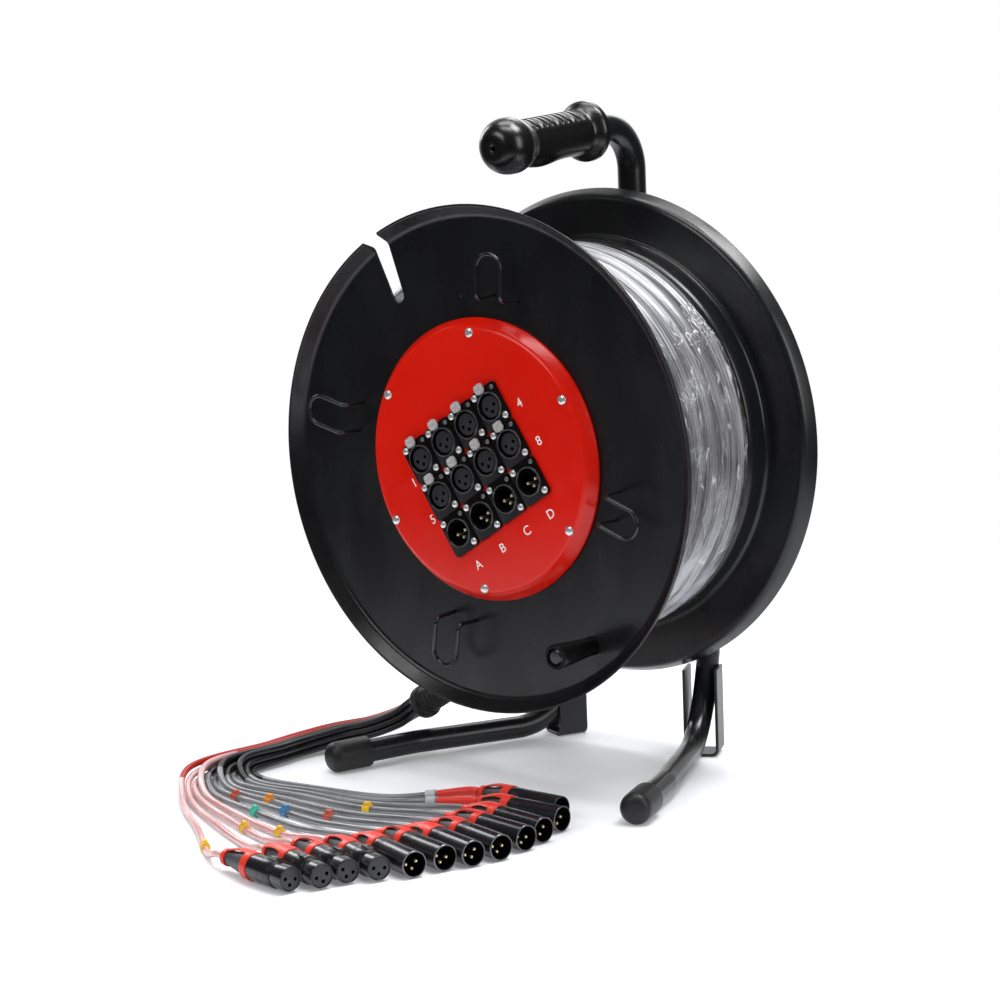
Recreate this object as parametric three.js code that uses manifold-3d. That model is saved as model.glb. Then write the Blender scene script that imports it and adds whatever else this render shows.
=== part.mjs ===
// A stage box snake: a twelve-channel microphone multicore wound on a cranked steel drum.
// Millimetres, +Z up. The drum turns about Y, its connector panel faces -Y, the grip is on top.
// Every piece is placed from the drum's centre. The last lines stand the whole on z = 0.
import * as THREE from "three";
import { mergeVertices } from "three/addons/utils/BufferGeometryUtils.js";
import Module from "manifold-3d";

const wasm = await Module();
wasm.setup();

// Fits
const seatGap = 0.3; // between two pieces that rest on each other or turn in each other
const cutOverrun = 6; // how far a cutting body runs past what it cuts
const weld = 0.001; // points closer than this are one point

// Drum
const drumHeight = 253; // the drum's axis above the floor
const flangeRadius = 190;
const drumWidth = 166.6; // over both flange rims
const sheet = 2; // flange, panel and core sheet
const lipDepth = 10; // how far the rim flares outward, along the axis
const lipWidth = 9; // and across it
const flangeBore = 88; // opening of the front flange behind the panel
const stepInset = 38; // from the rear flange's rim to its pressed step
const stepDepth = 22;
const stepSlope = 4;
const coreRadius = 82;
const flangeSides = 40;

// Slot in the front flange, cut from its rim
const slotDepth = 47.2; // from the rim to the round end's centre
const slotFootAngle = 123.6; // degrees round the drum from +X toward +Z
const slotMouthAngle = 120.7;
const slotFootWidth = 11;
const slotMouthWidth = 17;

// Cable on the drum
const cableDiameter = 16.5;
const windingLoops = 6;
const windingInset = 38; // from the flanges' rims to the outer layer
const stepsPerLoop = 18;
const windingSides = 6;
const windingStart = -150; // degrees round the drum from +X toward +Z

// Connector panel
const panelRadius = 106;
const panelBevel = 6.5;
const panelRise = 10.7; // front of the panel before the flange's face
const panelSides = 32;
const gridTurn = 32.5; // degrees that the rows are turned
const gridCentre = [-0.8, -6.2]; // x and z
const columnPitch = 27;
const rowPitch = 31.5;

// Chassis connector
const plateWidth = 26;
const plateHeight = 31;
const plateThickness = 2.4;
const plateCorner = 3;
const barrelRadius = 10.8;
const barrelDepth = 21; // behind the plate's face
const barrelRise = 1.2; // ring round the socket, before the plate's face
const socketRadius = 9.6;
const socketDepth = 12;
const insertRadius = 7.7;
const connectorSides = 10;
const contactCircle = 4.1;
const contactHole = 1.3;
const contactDepth = 8;
const pinRadius = 1.2;
const pinLength = 9.5;
const contactSides = 5;

// Push tab on each input
const tabWidth = 9;
const tabLength = 8;
const tabThickness = 1.6;
const tabCentre = 15; // above the connector's centre
const tabStandoff = 1.5; // between the plate and the tab at rest
const stemWidth = 4;
const stemThickness = 2;
const stemReach = 0.9; // behind the plate's face, with the tab at rest

// Wire hooks
const hookOffset = 17.5; // beyond the panel's rim
const hookAngles = [78, 168, 258, 348];
const hookLeans = [9, -3, 5, -8]; // degrees that each loop leans from the radius
const hookWire = 1.6; // radius
const hookWidth = 22;
const hookStandoff = 22;
const hookLength = 34;
const hookBend = 5;
const hookSides = 6;

// Crank
const crankInset = 29.3; // from the flange's rim
const crankAngle = -54.9; // degrees round the drum from +X toward +Z
const knobLength = 44;
const knobFootRadius = 7;
const knobTipRadius = 9.5;
const knobRecess = 3;
const knobSides = 12;
const studRadius = 3;
const studHeadRadius = 6;
const studHead = 2;

// Frame
const uprightY = 119;
const uprightRadius = 11;
const gripHeight = 235.4; // of the tube's axis where it leaves the bend
const gripSlope = 3.24; // degrees down toward the front
const uprightBend = 34;
const tubeSides = 12;
const hoopRadius = 9;
const hoopTop = -60;
const hoopHalfWidth = 62;
const hoopBend = 34;
const legRadius = 9;
const legTop = [65.5, 110, 67]; // x, y and height above the floor
const legHeel = [64.5, 99.5, 10.5];
const legKnee = [121.5, -27.5, 12.5];
const legToe = [145, -97, 12.15];
const legBend = 56;
const kneeBend = 80;
const stubRadius = 6.5; // the hoop's swaged ends
const capRadius = 12;
const capLength = 35;
const capWall = 4.5; // beyond the tube's end
const stubDepth = 12; // how far the hoop enters each leg

// Rear bracket: a stirrup of strap round the top of each leg
const strapThickness = 2.4;
const strapWidth = 25;
const strapTop = 69; // above the floor
const strapFold = 6; // bend at each lower corner
const strapSlack = 1.7; // on each side of the tube, which leans inside the strap
const strapForward = 7.5; // its middle, forward of the tube
const strapPlaceShare = 0.35; // height of that place, down from the leg's top to its heel

// Grip
const gripLength = 116;
const gripTipY = -52;
const gripRadius = 17;
const gripBulb = 21;
const gripFlange = 23.3;
const gripFlangeThickness = 4;
const gripVent = 1.8;
const gripSides = 14;
const gripSwell = [12, 32, 11]; // half sizes of the swell under the fingers
const gripSwellPlace = 52; // from the tip
const gripSwellDrop = 7.5;
const bulbReachShare = 0.75; // how far the bulb's round end reaches, of its radius
const bulbFaceShare = 1 / 3; // flat middle of the bulb's end, of its radius

// Axle and bearing
const axleRadius = 8;
const axleFront = 36;
const axleHead = 6;
const axleHeadRadius = 13;
const bearingRadius = 17;
const bearingFlange = 28;
const bearingFlangeThickness = 3.5;
const collarWidth = 6;
const axleCollarRadius = 14;
const axleSides = 12;

// Cable plugs
const plugRadius = 9.5;
const plugLength = 78;
const plugRing = 10.2;
const plugRingPlace = [51, 58]; // from the face
const plugNeck = 8;
const plugTail = 4.2;
const cupRadius = 8.1;
const cupDepth = 14;
const noseRadius = 7.9;
const noseLength = 13;
const plugSides = 10;
const latchSize = [4.5, 9, 2]; // button on a female plug: width, length, height
const latchPlace = 20; // from the face

// Trunk, boot and tails
const cordSides = 8;
const diametersPerStep = 3.3;
const tailRadius = 2.5;
const tailPitch = 5.2; // between tails side by side in the bundle
const bundleRows = 3;
const bundleColumns = 4;
const bootLength = 48;
const bootRadius = 11;
const bootMouthRadius = 13.3;
const bootMouthLength = 7;
const bootSides = 14;

// Derived places
const stepRadius = flangeRadius - stepInset;
const windingTop = flangeRadius - windingInset;
const faceY = -drumWidth / 2 + lipDepth; // front flange, outer face of its flat
const innerFrontY = faceY + sheet;
const rearFaceY = -faceY; // rear flange, outer face of its flat
const stepFaceY = rearFaceY - sheet - stepDepth; // rear flange, face that the winding meets
const panelY = faceY - panelRise;
const plateY = panelY - seatGap - plateThickness;
const bearingRear = uprightY - uprightRadius - seatGap;
const floorZ = -drumHeight;
const degrees = Math.PI / 180;

// Materials
function finish(colour, roughness, metalness) {
  return new THREE.MeshStandardMaterial({ color: colour, roughness, metalness });
}

const blackEnamel = finish(0x17181b, 0.45, 0.3);
const blackPlastic = finish(0x131315, 0.5, 0);
const blackRubber = finish(0x101012, 0.75, 0);
const redLacquer = finish(0xd81e0c, 0.25, 0.1);
const brightMetal = finish(0xc9c8c4, 0.25, 0.9);
const blackMetal = finish(0x1a1b1d, 0.35, 0.6);
const greyJacket = finish(0x7d8085, 0.5, 0);

// Corner radius of a many-sided bore that clears a round piece
function boreFor(radius, sides) {
  return (radius + seatGap) / Math.cos(Math.PI / sides);
}

// A geometry as a solid, turned so that its faces point out
function solid(geometry) {
  const bare = geometry.clone();
  bare.deleteAttribute("normal");
  bare.deleteAttribute("uv");
  const merged = mergeVertices(bare, weld);
  const points = merged.attributes.position;
  const triangles = [];
  let volume = 0;
  const [a, b, c] = [new THREE.Vector3(), new THREE.Vector3(), new THREE.Vector3()];
  for (let i = 0; i < merged.index.count; i += 3) {
    const corner = [0, 1, 2].map((k) => merged.index.getX(i + k));
    if (new Set(corner).size < corner.length) continue;
    a.fromBufferAttribute(points, corner[0]);
    b.fromBufferAttribute(points, corner[1]);
    c.fromBufferAttribute(points, corner[2]);
    volume += a.dot(b.cross(c));
    triangles.push(corner);
  }
  if (volume < 0) triangles.forEach((corner) => corner.reverse());
  const vertProperties = new Float32Array(points.array);
  const triVerts = new Uint32Array(triangles.flat());
  return new wasm.Manifold(new wasm.Mesh({ numProp: 3, vertProperties, triVerts }));
}

function geometryOf(body) {
  const { vertProperties, triVerts } = body.getMesh();
  const geometry = new THREE.BufferGeometry();
  geometry.setAttribute("position", new THREE.BufferAttribute(vertProperties, 3));
  geometry.setIndex(new THREE.BufferAttribute(triVerts, 1));
  geometry.computeVertexNormals();
  return geometry;
}

function piece(name, body, material) {
  const mesh = new THREE.Mesh(geometryOf(body), material);
  mesh.name = name;
  return mesh;
}

// A profile of [radius, y] points turned round the Y axis
function turnedGeometry(profile, sides) {
  return new THREE.LatheGeometry(
    profile.map(([radius, y]) => new THREE.Vector2(radius, y)),
    sides,
  );
}

function turned(profile, sides) {
  return solid(turnedGeometry(profile, sides));
}

// The same for a profile that closes on itself away from the axis
function turnedRing(profile, sides) {
  return turned([...profile, profile[0]], sides);
}

// A round bar along Y
function bar(radius, fromY, toY, sides, x = 0, z = 0) {
  const geometry = turnedGeometry([[0, fromY], [radius, fromY], [radius, toY], [0, toY]], sides);
  return solid(geometry.translate(x, 0, z));
}

function block(width, depth, height, x, y, z) {
  return solid(new THREE.BoxGeometry(width, depth, height).translate(x, y, z));
}

// An outline of [x, z] points drawn out along Y
function plate(outline, fromY, toY) {
  const shape = new THREE.Shape(outline.map(([x, z]) => new THREE.Vector2(x, z)));
  const geometry = new THREE.ExtrudeGeometry(shape, { depth: toY - fromY, bevelEnabled: false });
  return solid(geometry.rotateX(Math.PI / 2).translate(0, toY, 0));
}

function ringOfPoints(radius, count, turn = 0) {
  return Array.from({ length: count }, (unused, i) => {
    const angle = turn + (2 * Math.PI * i) / count;
    return [radius * Math.cos(angle), radius * Math.sin(angle)];
  });
}

function sectionOf(points) {
  return new THREE.Shape(points.map(([x, y]) => new THREE.Vector2(x, y)));
}

// A route through given stations, with one step of a swept section between two of them
class StationRoute extends THREE.Curve {
  constructor(stations) {
    super();
    this.stations = stations;
  }

  get steps() {
    return this.stations.length - 1;
  }

  getUtoTmapping(u) {
    return u;
  }

  getPoint(t, target = new THREE.Vector3()) {
    const along = t * this.steps;
    const i = Math.min(Math.floor(along), this.steps - 1);
    return target.lerpVectors(this.stations[i], this.stations[i + 1], along - i);
  }

  getTangent(t, target = new THREE.Vector3()) {
    const i = Math.round(t * this.steps);
    const before = this.stations[Math.max(i - 1, 0)];
    const at = this.stations[i];
    const after = this.stations[Math.min(i + 1, this.steps)];
    const into = at.clone().sub(before).normalize();
    return target.copy(after).sub(at).normalize().add(into).normalize();
  }
}

function pipe(stations, section) {
  const route = new StationRoute(stations);
  const options = { steps: route.steps, extrudePath: route, bevelEnabled: false };
  return solid(new THREE.ExtrudeGeometry(section, options));
}

// Stations along straight runs whose corners are round bends, the last one as given
function bentStations(corners, bendRadius, stepsPerBend, lastBend = bendRadius) {
  const points = corners.map((corner) => new THREE.Vector3(...corner));
  const stations = [points[0]];
  for (let i = 1; i < points.length - 1; i += 1) {
    const back = points[i - 1].clone().sub(points[i]).normalize();
    const on = points[i + 1].clone().sub(points[i]).normalize();
    const half = back.angleTo(on) / 2;
    const middle = back.clone().add(on).normalize();
    const bend = i === points.length - 2 ? lastBend : bendRadius;
    const centre = points[i].clone().addScaledVector(middle, bend / Math.sin(half));
    const first = points[i].clone().addScaledVector(back, bend / Math.tan(half)).sub(centre);
    const last = points[i].clone().addScaledVector(on, bend / Math.tan(half)).sub(centre);
    const axis = first.clone().cross(last).normalize();
    const sweep = first.angleTo(last);
    const steps = Math.ceil((stepsPerBend * sweep) / (Math.PI / 2));
    for (let k = 0; k <= steps; k += 1) {
      const arm = first.clone().applyAxisAngle(axis, (sweep * k) / steps);
      stations.push(arm.add(centre));
    }
  }
  stations.push(points[points.length - 1]);
  return stations;
}

// A cord through chosen points, stepped every few diameters
function cord(points, radius, section) {
  const curve = new THREE.CatmullRomCurve3(points, false, "centripetal");
  const steps = Math.ceil(curve.getLength() / (2 * radius * diametersPerStep));
  const options = { steps, extrudePath: curve, bevelEnabled: false };
  return solid(new THREE.ExtrudeGeometry(section, options));
}

// A point on a circle round the drum's axis
function onDrum(radius, angle, y) {
  const turn = angle * degrees;
  return new THREE.Vector3(radius * Math.cos(turn), y, radius * Math.sin(turn));
}

const crankPlace = onDrum(flangeRadius - crankInset, crankAngle, 0);

// Front flange: a flat ring of sheet with a lip that flares toward the front
function frontFlange() {
  const lipFoot = flangeRadius - lipWidth;
  const rimY = faceY - lipDepth;
  const ring = turnedRing(
    [
      [flangeBore, faceY],
      [lipFoot, faceY],
      [lipFoot + sheet, faceY - sheet / 2],
      [flangeRadius - sheet, rimY],
      [flangeRadius, rimY],
      [lipFoot + 2 * sheet, innerFrontY - sheet / 2],
      [lipFoot + sheet / 2, innerFrontY],
      [flangeBore, innerFrontY],
    ],
    flangeSides,
  );
  const stud = bar(
    boreFor(studRadius, contactSides),
    faceY - cutOverrun,
    innerFrontY + cutOverrun,
    contactSides,
    crankPlace.x,
    crankPlace.z,
  );
  return ring.subtract(flangeSlot()).subtract(stud);
}

// The slot that lets the cable's end through: a tapered cut with a round end
function flangeSlot() {
  const footPlace = onDrum(flangeRadius - slotDepth, slotFootAngle, 0);
  const mouthPlace = onDrum(flangeRadius, slotMouthAngle, 0);
  const foot = new THREE.Vector2(footPlace.x, footPlace.z);
  const along = new THREE.Vector2(mouthPlace.x, mouthPlace.z).sub(foot);
  const past = foot.clone().add(along.clone().multiplyScalar(1 + cutOverrun / along.length()));
  const across = new THREE.Vector2(-along.y, along.x).normalize();
  const roundSteps = 5;
  const outline = [];
  for (let k = 0; k <= roundSteps; k += 1) {
    const turn = Math.atan2(across.y, across.x) + (Math.PI * k) / roundSteps;
    outline.push([
      foot.x + (slotFootWidth / 2) * Math.cos(turn),
      foot.y + (slotFootWidth / 2) * Math.sin(turn),
    ]);
  }
  outline.push([past.x - (across.x * slotMouthWidth) / 2, past.y - (across.y * slotMouthWidth) / 2]);
  outline.push([past.x + (across.x * slotMouthWidth) / 2, past.y + (across.y * slotMouthWidth) / 2]);
  return plate(outline, faceY - lipDepth - cutOverrun, innerFrontY + cutOverrun);
}

// Rear flange: the same rim, with a step pressed toward the winding
function rearFlange() {
  const lipFoot = flangeRadius - lipWidth;
  const rimY = rearFaceY + lipDepth;
  const innerY = rearFaceY - sheet;
  const bore = boreFor(bearingRadius, axleSides);
  return turnedRing(
    [
      [bore, stepFaceY],
      [stepRadius - stepSlope, stepFaceY],
      [stepRadius, stepFaceY + stepSlope],
      [stepRadius, innerY],
      [lipFoot + sheet / 2, innerY],
      [lipFoot + 2 * sheet, innerY + sheet / 2],
      [flangeRadius, rimY],
      [flangeRadius - sheet, rimY],
      [lipFoot + sheet, rearFaceY + sheet / 2],
      [lipFoot, rearFaceY],
      [stepRadius - sheet, rearFaceY],
      [stepRadius - stepSlope, stepFaceY + sheet],
      [bore, stepFaceY + sheet],
    ],
    flangeSides,
  );
}

// A plain ring of sheet or cable between the two flanges
function betweenFlanges(innerRadius, outerRadius) {
  const fromY = innerFrontY + seatGap;
  const toY = stepFaceY - seatGap;
  return turnedRing(
    [[innerRadius, fromY], [outerRadius, fromY], [outerRadius, toY], [innerRadius, toY]],
    flangeSides,
  );
}

// Outer layer of cable: one helix of loops, with an end that runs straight for one diameter
const windingRadius = windingTop - cableDiameter / 2;
const windingFirstY = innerFrontY + seatGap + cableDiameter / 2;
const windingLastY = stepFaceY - seatGap - cableDiameter / 2;
const windingPitch = (windingLastY - windingFirstY) / windingLoops;
const innerLayersRadius =
  windingRadius * Math.cos(Math.PI / stepsPerLoop) - cableDiameter / 2 - seatGap;

function windingStations() {
  const count = windingLoops * stepsPerLoop;
  const loops = Array.from({ length: count + 1 }, (unused, k) => {
    const turn = k / stepsPerLoop;
    return onDrum(windingRadius, windingStart + 360 * turn, windingFirstY + windingPitch * turn);
  });
  return [straightEnd(loops[0], -1), ...loops, straightEnd(loops[count], 1)];
}

function straightEnd(point, sense) {
  const tangent = new THREE.Vector3(-point.z, 0, point.x).normalize();
  return point.clone().addScaledVector(tangent, sense * cableDiameter);
}

function leastGapToItself(stations, diameter) {
  const fine = stations.flatMap((point, i) => {
    const next = stations[Math.min(i + 1, stations.length - 1)];
    return [0, 0.25, 0.5, 0.75].map((share) => point.clone().lerp(next, share));
  });
  const apart = fine.length / windingLoops / 2;
  let least = Infinity;
  fine.forEach((point, i) => {
    for (let k = i + Math.floor(apart); k < fine.length; k += 1) {
      least = Math.min(least, point.distanceTo(fine[k]) - diameter);
    }
  });
  return least;
}

// Red connector panel: a shallow dish with a bevelled rim and a hole for each barrel
function connectorPanel() {
  const dish = turned(
    [
      [0, panelY],
      [panelRadius - panelBevel, panelY],
      [panelRadius, faceY - seatGap - sheet],
      [panelRadius, faceY - seatGap],
      [panelRadius - sheet, faceY - seatGap],
      [panelRadius - panelBevel - sheet / 2, panelY + sheet],
      [0, panelY + sheet],
    ],
    panelSides,
  );
  return connectorPlaces().reduce((body, { x, z }) => {
    const place = new THREE.Vector3(x, 0, z).applyAxisAngle(yAxis, -gridTurn * degrees);
    const [holeX, holeZ] = [gridCentre[0] + place.x, gridCentre[1] + place.z];
    const hole = boreFor(barrelRadius, connectorSides);
    return body.subtract(
      bar(hole, panelY - cutOverrun, panelY + sheet + cutOverrun, connectorSides, holeX, holeZ),
    );
  }, dish);
}

const yAxis = new THREE.Vector3(0, 1, 0);

// Three rows of four: inputs 1 to 8 above, returns A to D below
function connectorPlaces() {
  const rows = [["1", "2", "3", "4"], ["5", "6", "7", "8"], ["a", "b", "c", "d"]];
  return rows.flatMap((row, r) =>
    row.map((label, c) => ({
      label,
      input: r < 2,
      x: (c - (row.length - 1) / 2) * columnPitch,
      z: ((rows.length - 1) / 2 - r) * rowPitch,
    })),
  );
}

// Flange plate of a chassis connector, its front face at y = 0, round corners
function connectorPlate() {
  const cornerSteps = 1;
  const outline = [0, 1, 2, 3].flatMap((quarter) => {
    const sx = quarter === 0 || quarter === 3 ? 1 : -1;
    const sz = quarter < 2 ? 1 : -1;
    return Array.from({ length: cornerSteps + 1 }, (unused, k) => {
      const turn = (quarter + k / cornerSteps) * (Math.PI / 2);
      return [
        sx * (plateWidth / 2 - plateCorner) + plateCorner * Math.cos(turn),
        sz * (plateHeight / 2 - plateCorner) + plateCorner * Math.sin(turn),
      ];
    });
  });
  return plate(outline, 0, plateThickness);
}

// Places of the three contacts, one on each side and one below
function contactPlaces(radius) {
  return [[-radius, 0], [radius, 0], [0, -radius]];
}

// Female socket: a round groove about an insert with three contact holes
function inputConnector() {
  const barrel = turned(
    [
      [0, 0],
      [insertRadius, 0],
      [insertRadius, socketDepth],
      [socketRadius, socketDepth],
      [socketRadius, -barrelRise],
      [barrelRadius, -barrelRise],
      [barrelRadius, barrelDepth],
      [0, barrelDepth],
    ],
    connectorSides,
  );
  const bore = bar(socketRadius, -cutOverrun, socketDepth, connectorSides);
  const stemSlot = block(
    stemWidth + 2 * seatGap,
    2 * cutOverrun,
    stemThickness + 2 * seatGap,
    0,
    0,
    tabCentre - tabLength / 2 + stemThickness / 2 + seatGap,
  );
  const body = connectorPlate().subtract(bore).subtract(stemSlot).add(barrel);
  return contactPlaces(contactCircle).reduce(
    (rest, [x, z]) => rest.subtract(bar(contactHole, -cutOverrun, contactDepth, contactSides, x, z)),
    body,
  );
}

// Male socket: an open cup with three pins
function returnConnector() {
  const cup = turned(
    [
      [0, socketDepth],
      [socketRadius, socketDepth],
      [socketRadius, -barrelRise],
      [barrelRadius, -barrelRise],
      [barrelRadius, barrelDepth],
      [0, barrelDepth],
    ],
    connectorSides,
  );
  const bore = bar(socketRadius, -cutOverrun, socketDepth, connectorSides);
  return withPins(connectorPlate().subtract(bore).add(cup), socketDepth);
}

function withPins(body, floorY) {
  return contactPlaces(contactCircle).reduce(
    (rest, [x, z]) => rest.add(bar(pinRadius, floorY - pinLength, floorY + sheet, contactSides, x, z)),
    body,
  );
}

// Push tab: a bright plate that stands off the connector on a stem in its slot
function pushTab() {
  const half = tabWidth / 2;
  const corner = tabWidth / 4;
  const low = -tabLength / 2;
  const outline = [
    [-half + corner, low],
    [half - corner, low],
    [half, low + corner],
    [half, -low - corner],
    [half - corner, -low],
    [-half + corner, -low],
    [-half, -low - corner],
    [-half, low + corner],
  ];
  const cap = plate(outline, -tabStandoff - tabThickness, -tabStandoff);
  const rootY = -tabStandoff - tabThickness / 2;
  const stemZ = -tabLength / 2 + stemThickness / 2 + seatGap;
  const middleY = (rootY + stemReach) / 2;
  return cap.add(block(stemWidth, stemReach - rootY, stemThickness, 0, middleY, stemZ));
}

// Wire hook: two legs that stand on the flange and one round loop that points outward
function wireHook(lean) {
  const half = hookWidth / 2;
  const frontY = faceY - hookStandoff;
  const corners = [
    [-half, faceY - seatGap, 0],
    [-half, frontY, 0],
    [-half, frontY, hookLength],
    [half, frontY, hookLength],
    [half, frontY, 0],
    [half, faceY - seatGap, 0],
  ];
  const legs = bentStations([corners[0], corners[1], [-half, frontY, hookLength / 2]], hookBend, 2);
  const archSteps = 6;
  const arch = Array.from({ length: archSteps + 1 }, (unused, k) => {
    const turn = Math.PI * (1 - k / archSteps);
    return new THREE.Vector3(half * Math.cos(turn), frontY, hookLength - half + half * Math.sin(turn));
  });
  const mirrored = legs.slice(0, -1).reverse().map((point) => point.clone().setX(-point.x));
  const leaning = [...legs.slice(0, -1), ...arch, ...mirrored].map((point) => {
    const share = (faceY - point.y) / hookStandoff;
    return point.applyAxisAngle(yAxis, -lean * degrees * Math.min(share, 1));
  });
  return pipe(leaning, sectionOf(ringOfPoints(hookWire, hookSides)));
}

// Crank knob: a cone that turns on a stud, open for the stud's head at its tip
function crankKnob() {
  const footY = faceY - seatGap;
  const tipY = faceY - knobLength;
  const bore = boreFor(studRadius, knobSides);
  const recess = boreFor(studHeadRadius, knobSides);
  return turnedRing(
    [
      [bore, footY],
      [knobFootRadius, footY],
      [knobFootRadius, footY - sheet],
      [knobTipRadius, tipY + sheet],
      [knobTipRadius - sheet / 2, tipY],
      [recess, tipY],
      [recess, tipY + knobRecess],
      [bore, tipY + knobRecess],
    ],
    knobSides,
  );
}

function crankStud() {
  const headY = faceY - knobLength + knobRecess - seatGap;
  const nutY = innerFrontY + seatGap;
  return turned(
    [
      [0, headY - studHead],
      [studHeadRadius, headY - studHead],
      [studHeadRadius, headY],
      [studRadius, headY],
      [studRadius, nutY],
      [studHeadRadius, nutY],
      [studHeadRadius, nutY + studHead],
      [0, nutY + studHead],
    ],
    knobSides,
  );
}

// Upright: the handle's tube, one bend down and a foot that sits on the hoop
const gripTurn = gripSlope * degrees;
const bendTopY = uprightY - uprightBend;
const gripAxisZ = (y) => gripHeight + (y - bendTopY) * Math.tan(gripTurn);
const tubeTipY = gripTipY + cutOverrun + uprightRadius / 2;

function frameUpright() {
  const corners = [
    [0, tubeTipY, gripAxisZ(tubeTipY)],
    [0, uprightY, gripAxisZ(uprightY)],
    [0, uprightY, hoopTop],
  ];
  const tube = pipe(
    bentStations(corners, uprightBend, 6),
    sectionOf(ringOfPoints(uprightRadius, tubeSides)),
  );
  const saddleSection = sectionOf(ringOfPoints(boreFor(hoopRadius, tubeSides), tubeSides));
  const saddle = pipe(hoopStations(), saddleSection);
  const [pinFront, pinRear] = [uprightY - 2 * uprightRadius, uprightY + 2 * uprightRadius];
  const pinHole = bar(boreFor(axleRadius, axleSides), pinFront, pinRear, axleSides);
  return tube.subtract(saddle).subtract(pinHole);
}

// Hoop: an inverted U that plugs into both legs
function hoopStations() {
  const [foot, rise] = [seatGap, stubDepth].map((reach) => aboveLeg(1, reach));
  const corners = [foot, rise, [hoopHalfWidth, uprightY, hoopTop]];
  const mirrored = corners.map(([x, y, z]) => [-x, y, z]).reverse();
  return bentStations([...corners, ...mirrored], hoopBend, 4);
}

// A point on a leg's own axis, above its top
function aboveLeg(side, reach) {
  const [top, heel] = legCorners(side).map((corner) => new THREE.Vector3(...corner));
  return top.addScaledVector(top.clone().sub(heel).normalize(), reach).toArray();
}

// The hoop's ends are swaged, so that they enter the legs
function frameHoop() {
  const tube = pipe(hoopStations(), sectionOf(ringOfPoints(hoopRadius, tubeSides)));
  return [-1, 1].reduce((body, side) => body.add(legStub(side, stubRadius, stubDepth)), tube);
}

// A round plug on a leg's axis that reaches down into the leg and up into the hoop
function legStub(side, radius, depth) {
  const [top, heel] = legCorners(side).map((corner) => new THREE.Vector3(...corner));
  const upward = top.clone().sub(heel).normalize();
  const geometry = new THREE.CylinderGeometry(radius, radius, 2 * depth, tubeSides);
  const stub = new THREE.Mesh(geometry);
  stub.position.copy(top);
  stub.quaternion.setFromUnitVectors(yAxis, upward);
  stub.updateMatrixWorld(true);
  return solid(geometry.applyMatrix4(stub.matrixWorld));
}

// Leg: a tube that comes down behind the drum and runs forward and outward along the floor
function legCorners(side) {
  return [legTop, legHeel, legKnee, legToe].map(([x, y, height]) => [side * x, y, floorZ + height]);
}

function leg(side) {
  const stations = bentStations(legCorners(side), legBend, 5, kneeBend);
  const tube = pipe(stations, sectionOf(ringOfPoints(legRadius, tubeSides)));
  return tube.subtract(legStub(side, boreFor(stubRadius, tubeSides), stubDepth + seatGap));
}

// Rubber cap over a leg's end, turned in its own frame with the opening at y = 0
function footCap() {
  const bore = boreFor(legRadius, tubeSides);
  const depth = capLength - capWall;
  return turned(
    [
      [0, -depth],
      [bore, -depth],
      [bore, 0],
      [capRadius, 0],
      [capRadius, -capLength + capWall],
      [capRadius - capWall / 3, -capLength + capWall / 4],
      [capRadius / 2, -capLength],
      [0, -capLength],
    ],
    tubeSides,
  );
}

// Rear bracket: a stirrup of folded strap about the heel, in its own frame with the floor at z = 0
function rearBracket() {
  const inside = boreFor(legRadius, tubeSides) + strapSlack;
  const outside = inside + strapThickness;
  const half = [
    [outside - strapFold, 0],
    [outside, strapFold],
    [outside, strapTop - strapThickness],
    [outside - strapThickness / 2, strapTop],
    [inside, strapTop],
    [inside, strapFold + strapThickness / 2],
    [inside - strapFold + strapThickness / 2, strapThickness],
  ];
  const otherHalf = half.map(([x, z]) => [-x, z]).reverse();
  return plate([...half, ...otherHalf], -strapWidth / 2, strapWidth / 2);
}

// Grip: a rubber sleeve with a round bulb, a guard flange and a swell under the fingers
function handleGrip() {
  const bore = boreFor(uprightRadius, tubeSides);
  const floorY = cutOverrun;
  const bulbSteps = 5;
  const bulb = Array.from({ length: bulbSteps }, (unused, k) => {
    const turn = (Math.PI / 2) * (k / (bulbSteps - 1));
    const radius = gripBulb * (bulbFaceShare + (1 - bulbFaceShare) * Math.sin(turn));
    return [radius, gripBulb * bulbReachShare * (1 - Math.cos(turn))];
  });
  const flangeFoot = gripLength - 2 * gripFlangeThickness;
  const body = turned(
    [
      [0, 0],
      ...bulb,
      [gripBulb, gripBulb],
      [gripRadius + gripVent, gripBulb + gripRadius / 2],
      [gripRadius, 2 * gripRadius],
      [gripRadius, flangeFoot - gripFlangeThickness],
      [gripFlange - gripVent, flangeFoot + gripFlangeThickness / 2],
      [gripFlange, gripLength - gripFlangeThickness / 2],
      [gripFlange - gripVent / 2, gripLength],
      [0, gripLength],
    ],
    gripSides,
  );
  const swellBall = new THREE.SphereGeometry(1, gripSides, gripSides / 2).scale(...gripSwell);
  const swell = solid(swellBall.translate(0, gripSwellPlace, -gripSwellDrop));
  const hollow = bar(bore, floorY, gripLength + cutOverrun, tubeSides);
  const vent = bar(gripVent, -cutOverrun, floorY + seatGap, contactSides);
  return body.add(swell).subtract(hollow).subtract(vent);
}

// Axle: a headed pin from behind the upright into the drum
function axle() {
  const headY = uprightY + uprightRadius + seatGap;
  const pin = bar(axleRadius, axleFront, headY + seatGap, axleSides);
  return pin.add(bar(axleHeadRadius, headY, headY + axleHead, contactSides));
}

function axleCollar() {
  const fromY = axleFront + seatGap;
  const bore = boreFor(axleRadius, axleSides);
  return turnedRing(
    [[bore, fromY], [axleCollarRadius, fromY], [axleCollarRadius, fromY + collarWidth], [bore, fromY + collarWidth]],
    axleSides,
  );
}

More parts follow.
